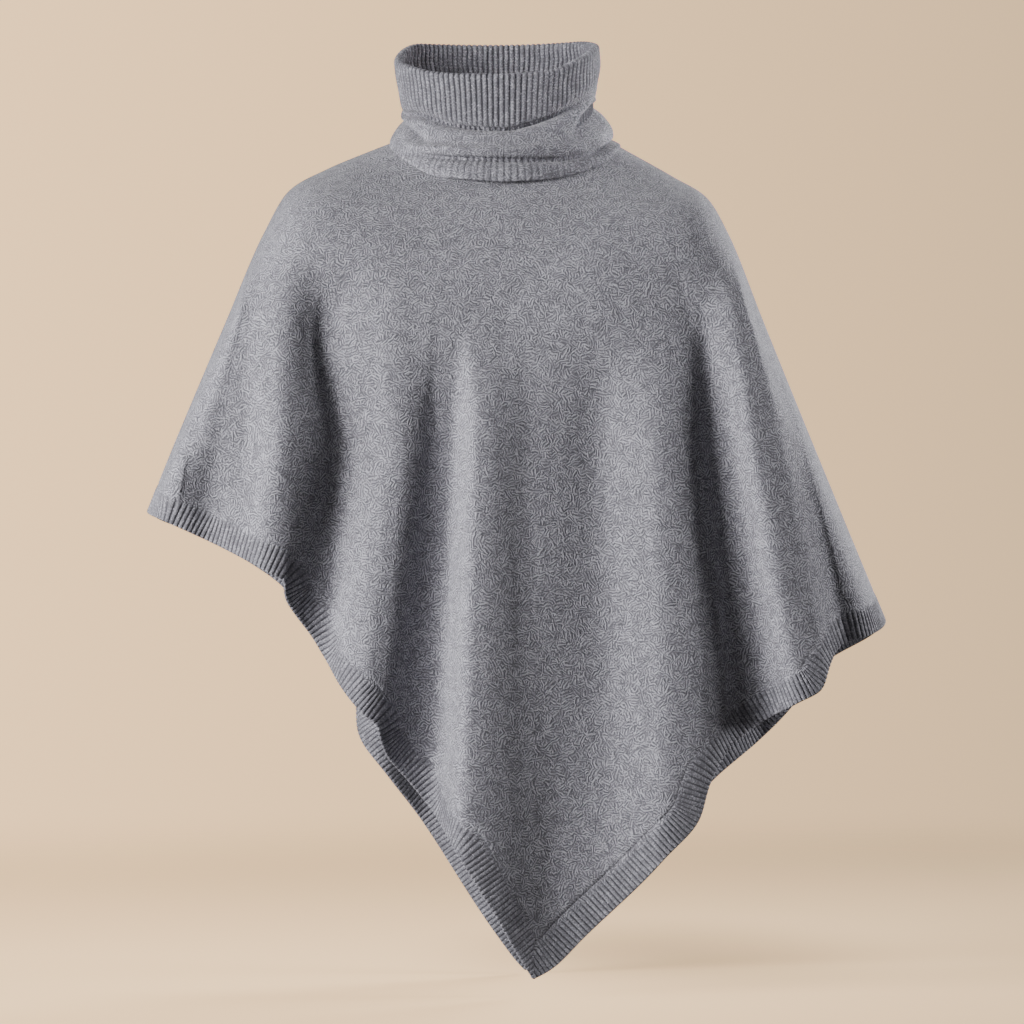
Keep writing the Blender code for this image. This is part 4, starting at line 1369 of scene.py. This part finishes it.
@dataclass(frozen=True)
class Studio:
    """A pale beige floor that melts into a beige air, lit by one large soft light from the left.

    Weaker ones from the right, from behind and towards the collar fill in what it leaves dark.
    The air's colour is what the eye sees round the garment. It sends the cloth hardly any light, so that
    the folds stay deep, and so does the floor, which glows for the eye alone. In a soft oval behind and to
    the right of the hem's point the glow is weaker: a painted shadow of the garment.
    """

    floor: float = -0.8335
    left_colour: str = "#F0C592"
    right_colour: str = "#B79A76"
    paper_colour: str = "#EFCB9C"
    bounce_colour: str = "#8C8A88"
    air_on_cloth: str = "#F2F0F2"
    glow: float = 2.3
    floor_share: float = 0.76
    painted_shadow_middle: tuple[float, float, float] = (0.17, 0.34, 0.0)
    shade_size: tuple[float, float, float] = (0.26, 0.46, 1.0)
    camera_place: tuple[float, float, float] = (0.007, -5.0, -0.362)
    lens: float = 36 * 5 / 1.024
    lamps: tuple[Lamp, ...] = (
        Lamp("key", (-1.85, -1.1, -0.02), (0.0, -0.1, -0.35), 1.3, 16.0, 60),
        Lamp("kicker", (2.9, -0.05, 0.5), (0.1, -0.1, -0.2), 0.9, 6.0, 50),
        Lamp("collar fill", (1.9, -2.2, 0.9), (0.1, 0.0, 0.08), 0.1, 0.08, 7),
        Lamp("back", (2.2, 2.6, 0.5), (0.0, 0.1, -0.35), 1.2, 14.0, 50),
    )

    def beige(
        self, tree: bpy.types.NodeTree, place: bpy.types.NodeSocket, reach: float
    ) -> bpy.types.NodeSocket:
        """Adds the background's colour, a little darker from the left to the right: painted shade, as from
        a light at the left.

        Args:
            tree: the node tree.
            place: a place or a direction whose x runs to the right.
            reach: how far to each side the change goes on.

        Returns:
            The colour.
        """
        add = partial(add_node, tree)
        share = add("MapRange", i0=add("SeparateXYZ", i0=place), i1=-reach, i2=reach)
        left, right = linear(self.left_colour), linear(self.right_colour)
        return add("Mix", COLOUR, i0=share, i6=left, i7=right).outputs[2]

    def paper(self) -> bpy.types.Material:
        """Builds the floor's matt paper, which fades into the air 1.3 to 3 metres from the middle.

        Returns:
            The new material.
        """
        material = bpy.data.materials.new("matt_background_paper")
        tree = empty_tree(material)
        add = partial(add_node, tree)
        place = add("TexCoord").outputs["Object"]
        seen = add("LightPath").outputs["Is Camera Ray"]
        plan = add("VectorMath", TIMES, i0=place, i1=(1.0, 1.0, 0.0))
        far = add("VectorMath", LENGTH, i0=plan).outputs["Value"]
        fade = add("MapRange", SOFT, i0=far, i1=1.3, i2=3.0)
        # painted shadow: the floor's glow is dimmed in a soft oval behind and right of the hem's point
        aside = add("VectorMath", MINUS, i0=plan, i1=self.painted_shadow_middle)
        spread = add("VectorMath", OVER, i0=aside, i1=self.shade_size)
        from_middle = add("VectorMath", LENGTH, i0=spread).outputs["Value"]
        shaded = add("MapRange", SOFT, i0=from_middle, i1=0.0, i2=1.2, i3=0.35, i4=1.0)
        full = add("Math", TIMES, i0=seen, i1=self.glow * self.floor_share)
        strength = add("Math", TIMES, i0=full, i1=shaded)
        glow = add("Emission", Color=self.beige(tree, place, 0.6), Strength=strength)
        bounce, paper = linear(self.bounce_colour), linear(self.paper_colour)
        for_eye = add("Mix", COLOUR, i0=seen, i6=bounce, i7=paper).outputs[2]
        lit = add("AddShader", i0=add("BsdfDiffuse", Color=for_eye), i1=glow)
        mixed = add("MixShader", i0=fade, i1=lit, i2=add("BsdfTransparent"))
        add("OutputMaterial", Surface=mixed)
        return material

    def lay_floor(self) -> None:
        """Lays the floor, a square of paper that reaches past where it has faded."""
        mesh = bpy.data.meshes.new("floor")
        corners = [(x, y, self.floor) for x, y in ((-4, -4), (4, -4), (4, 4), (-4, 4))]
        mesh.from_pydata(corners, [], [(0, 1, 2, 3)])
        mesh.materials.append(self.paper())
        put_in_scene("floor", mesh)

    def fill_air(self) -> None:
        """Sets the air: beige for the eye, nearly dark for the cloth."""
        world = bpy.data.worlds.new("air")
        tree = empty_tree(world)
        add = partial(add_node, tree)
        way = add("TexCoord").outputs["Generated"]
        eye = add("Background", Color=self.beige(tree, way, 0.12), Strength=self.glow)
        cloth = add("Background", Color=linear(self.air_on_cloth), Strength=0.01)
        seen = add("LightPath").outputs["Is Camera Ray"]
        add("OutputWorld", Surface=add("MixShader", i0=seen, i1=cloth, i2=eye))
        bpy.context.scene.world = world

    def build(self) -> None:
        """Sets up the floor, the air, the lights and the camera."""
        self.lay_floor()
        self.fill_air()
        for lamp in self.lamps:
            lamp.hang()
        camera = bpy.data.cameras.new("camera")
        camera.sensor_width, camera.lens = 36.0, self.lens
        holder = put_in_scene("camera", camera)
        holder.location, holder.rotation_euler = self.camera_place, (np.pi / 2, 0.0, 0.0)
        bpy.context.scene.camera = holder


# ---------------------------------------------------------------- the garment
@dataclass
class Poncho:
    """The whole garment: two panels, four hem trims and the collar."""

    jersey: HeatheredWool = field(default_factory=lambda: HeatheredWool("felted_heather_jersey"))
    rib_knit: HeatheredWool = field(default_factory=lambda: HeatheredWool("heather_rib_knit"))

    def build(self) -> None:
        """Builds each piece, in place of its node."""
        jersey, rib_knit = self.jersey.build(), self.rib_knit.build()
        for facing, lines in ((Facing.FRONT, FRONT_LINES), (Facing.BACK, BACK_LINES)):
            side, panel = facing.name.lower(), BodyPanel(facing, lines)
            cloth = panel.build(f"{side}_cloth", jersey)
            self.finish(cloth, f"{side}_panel")
            for hand, trim in zip(("left", "right"), panel.trims):
                piece = trim.build(f"{side}_trim_{hand}", rib_knit)
                self.finish(piece, f"{side}_border_{hand}")
        collar = CowlCollar()
        self.finish(collar.build("cowl", rib_knit), "collar")

    def finish(
        self,
        piece: bpy.types.Object,
        node: str,
    ) -> None:
        """Lets a piece stand for its node and states its flat size.

        Args:
            piece: the finished piece.
            node: the node that it replaces.
        """
        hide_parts(node)
        count = sum(len(face.vertices) - 2 for face in piece.data.polygons)
        log.info("%s: %d triangles, %.4f m2", piece.name, count, sum(f.area for f in piece.data.polygons))


def main() -> None:
    """Builds the garment and its studio."""
    logging.basicConfig(level=logging.INFO, format="%(message)s")
    Poncho().build()
    Studio().build()


if __name__ == "__main__":
    main()
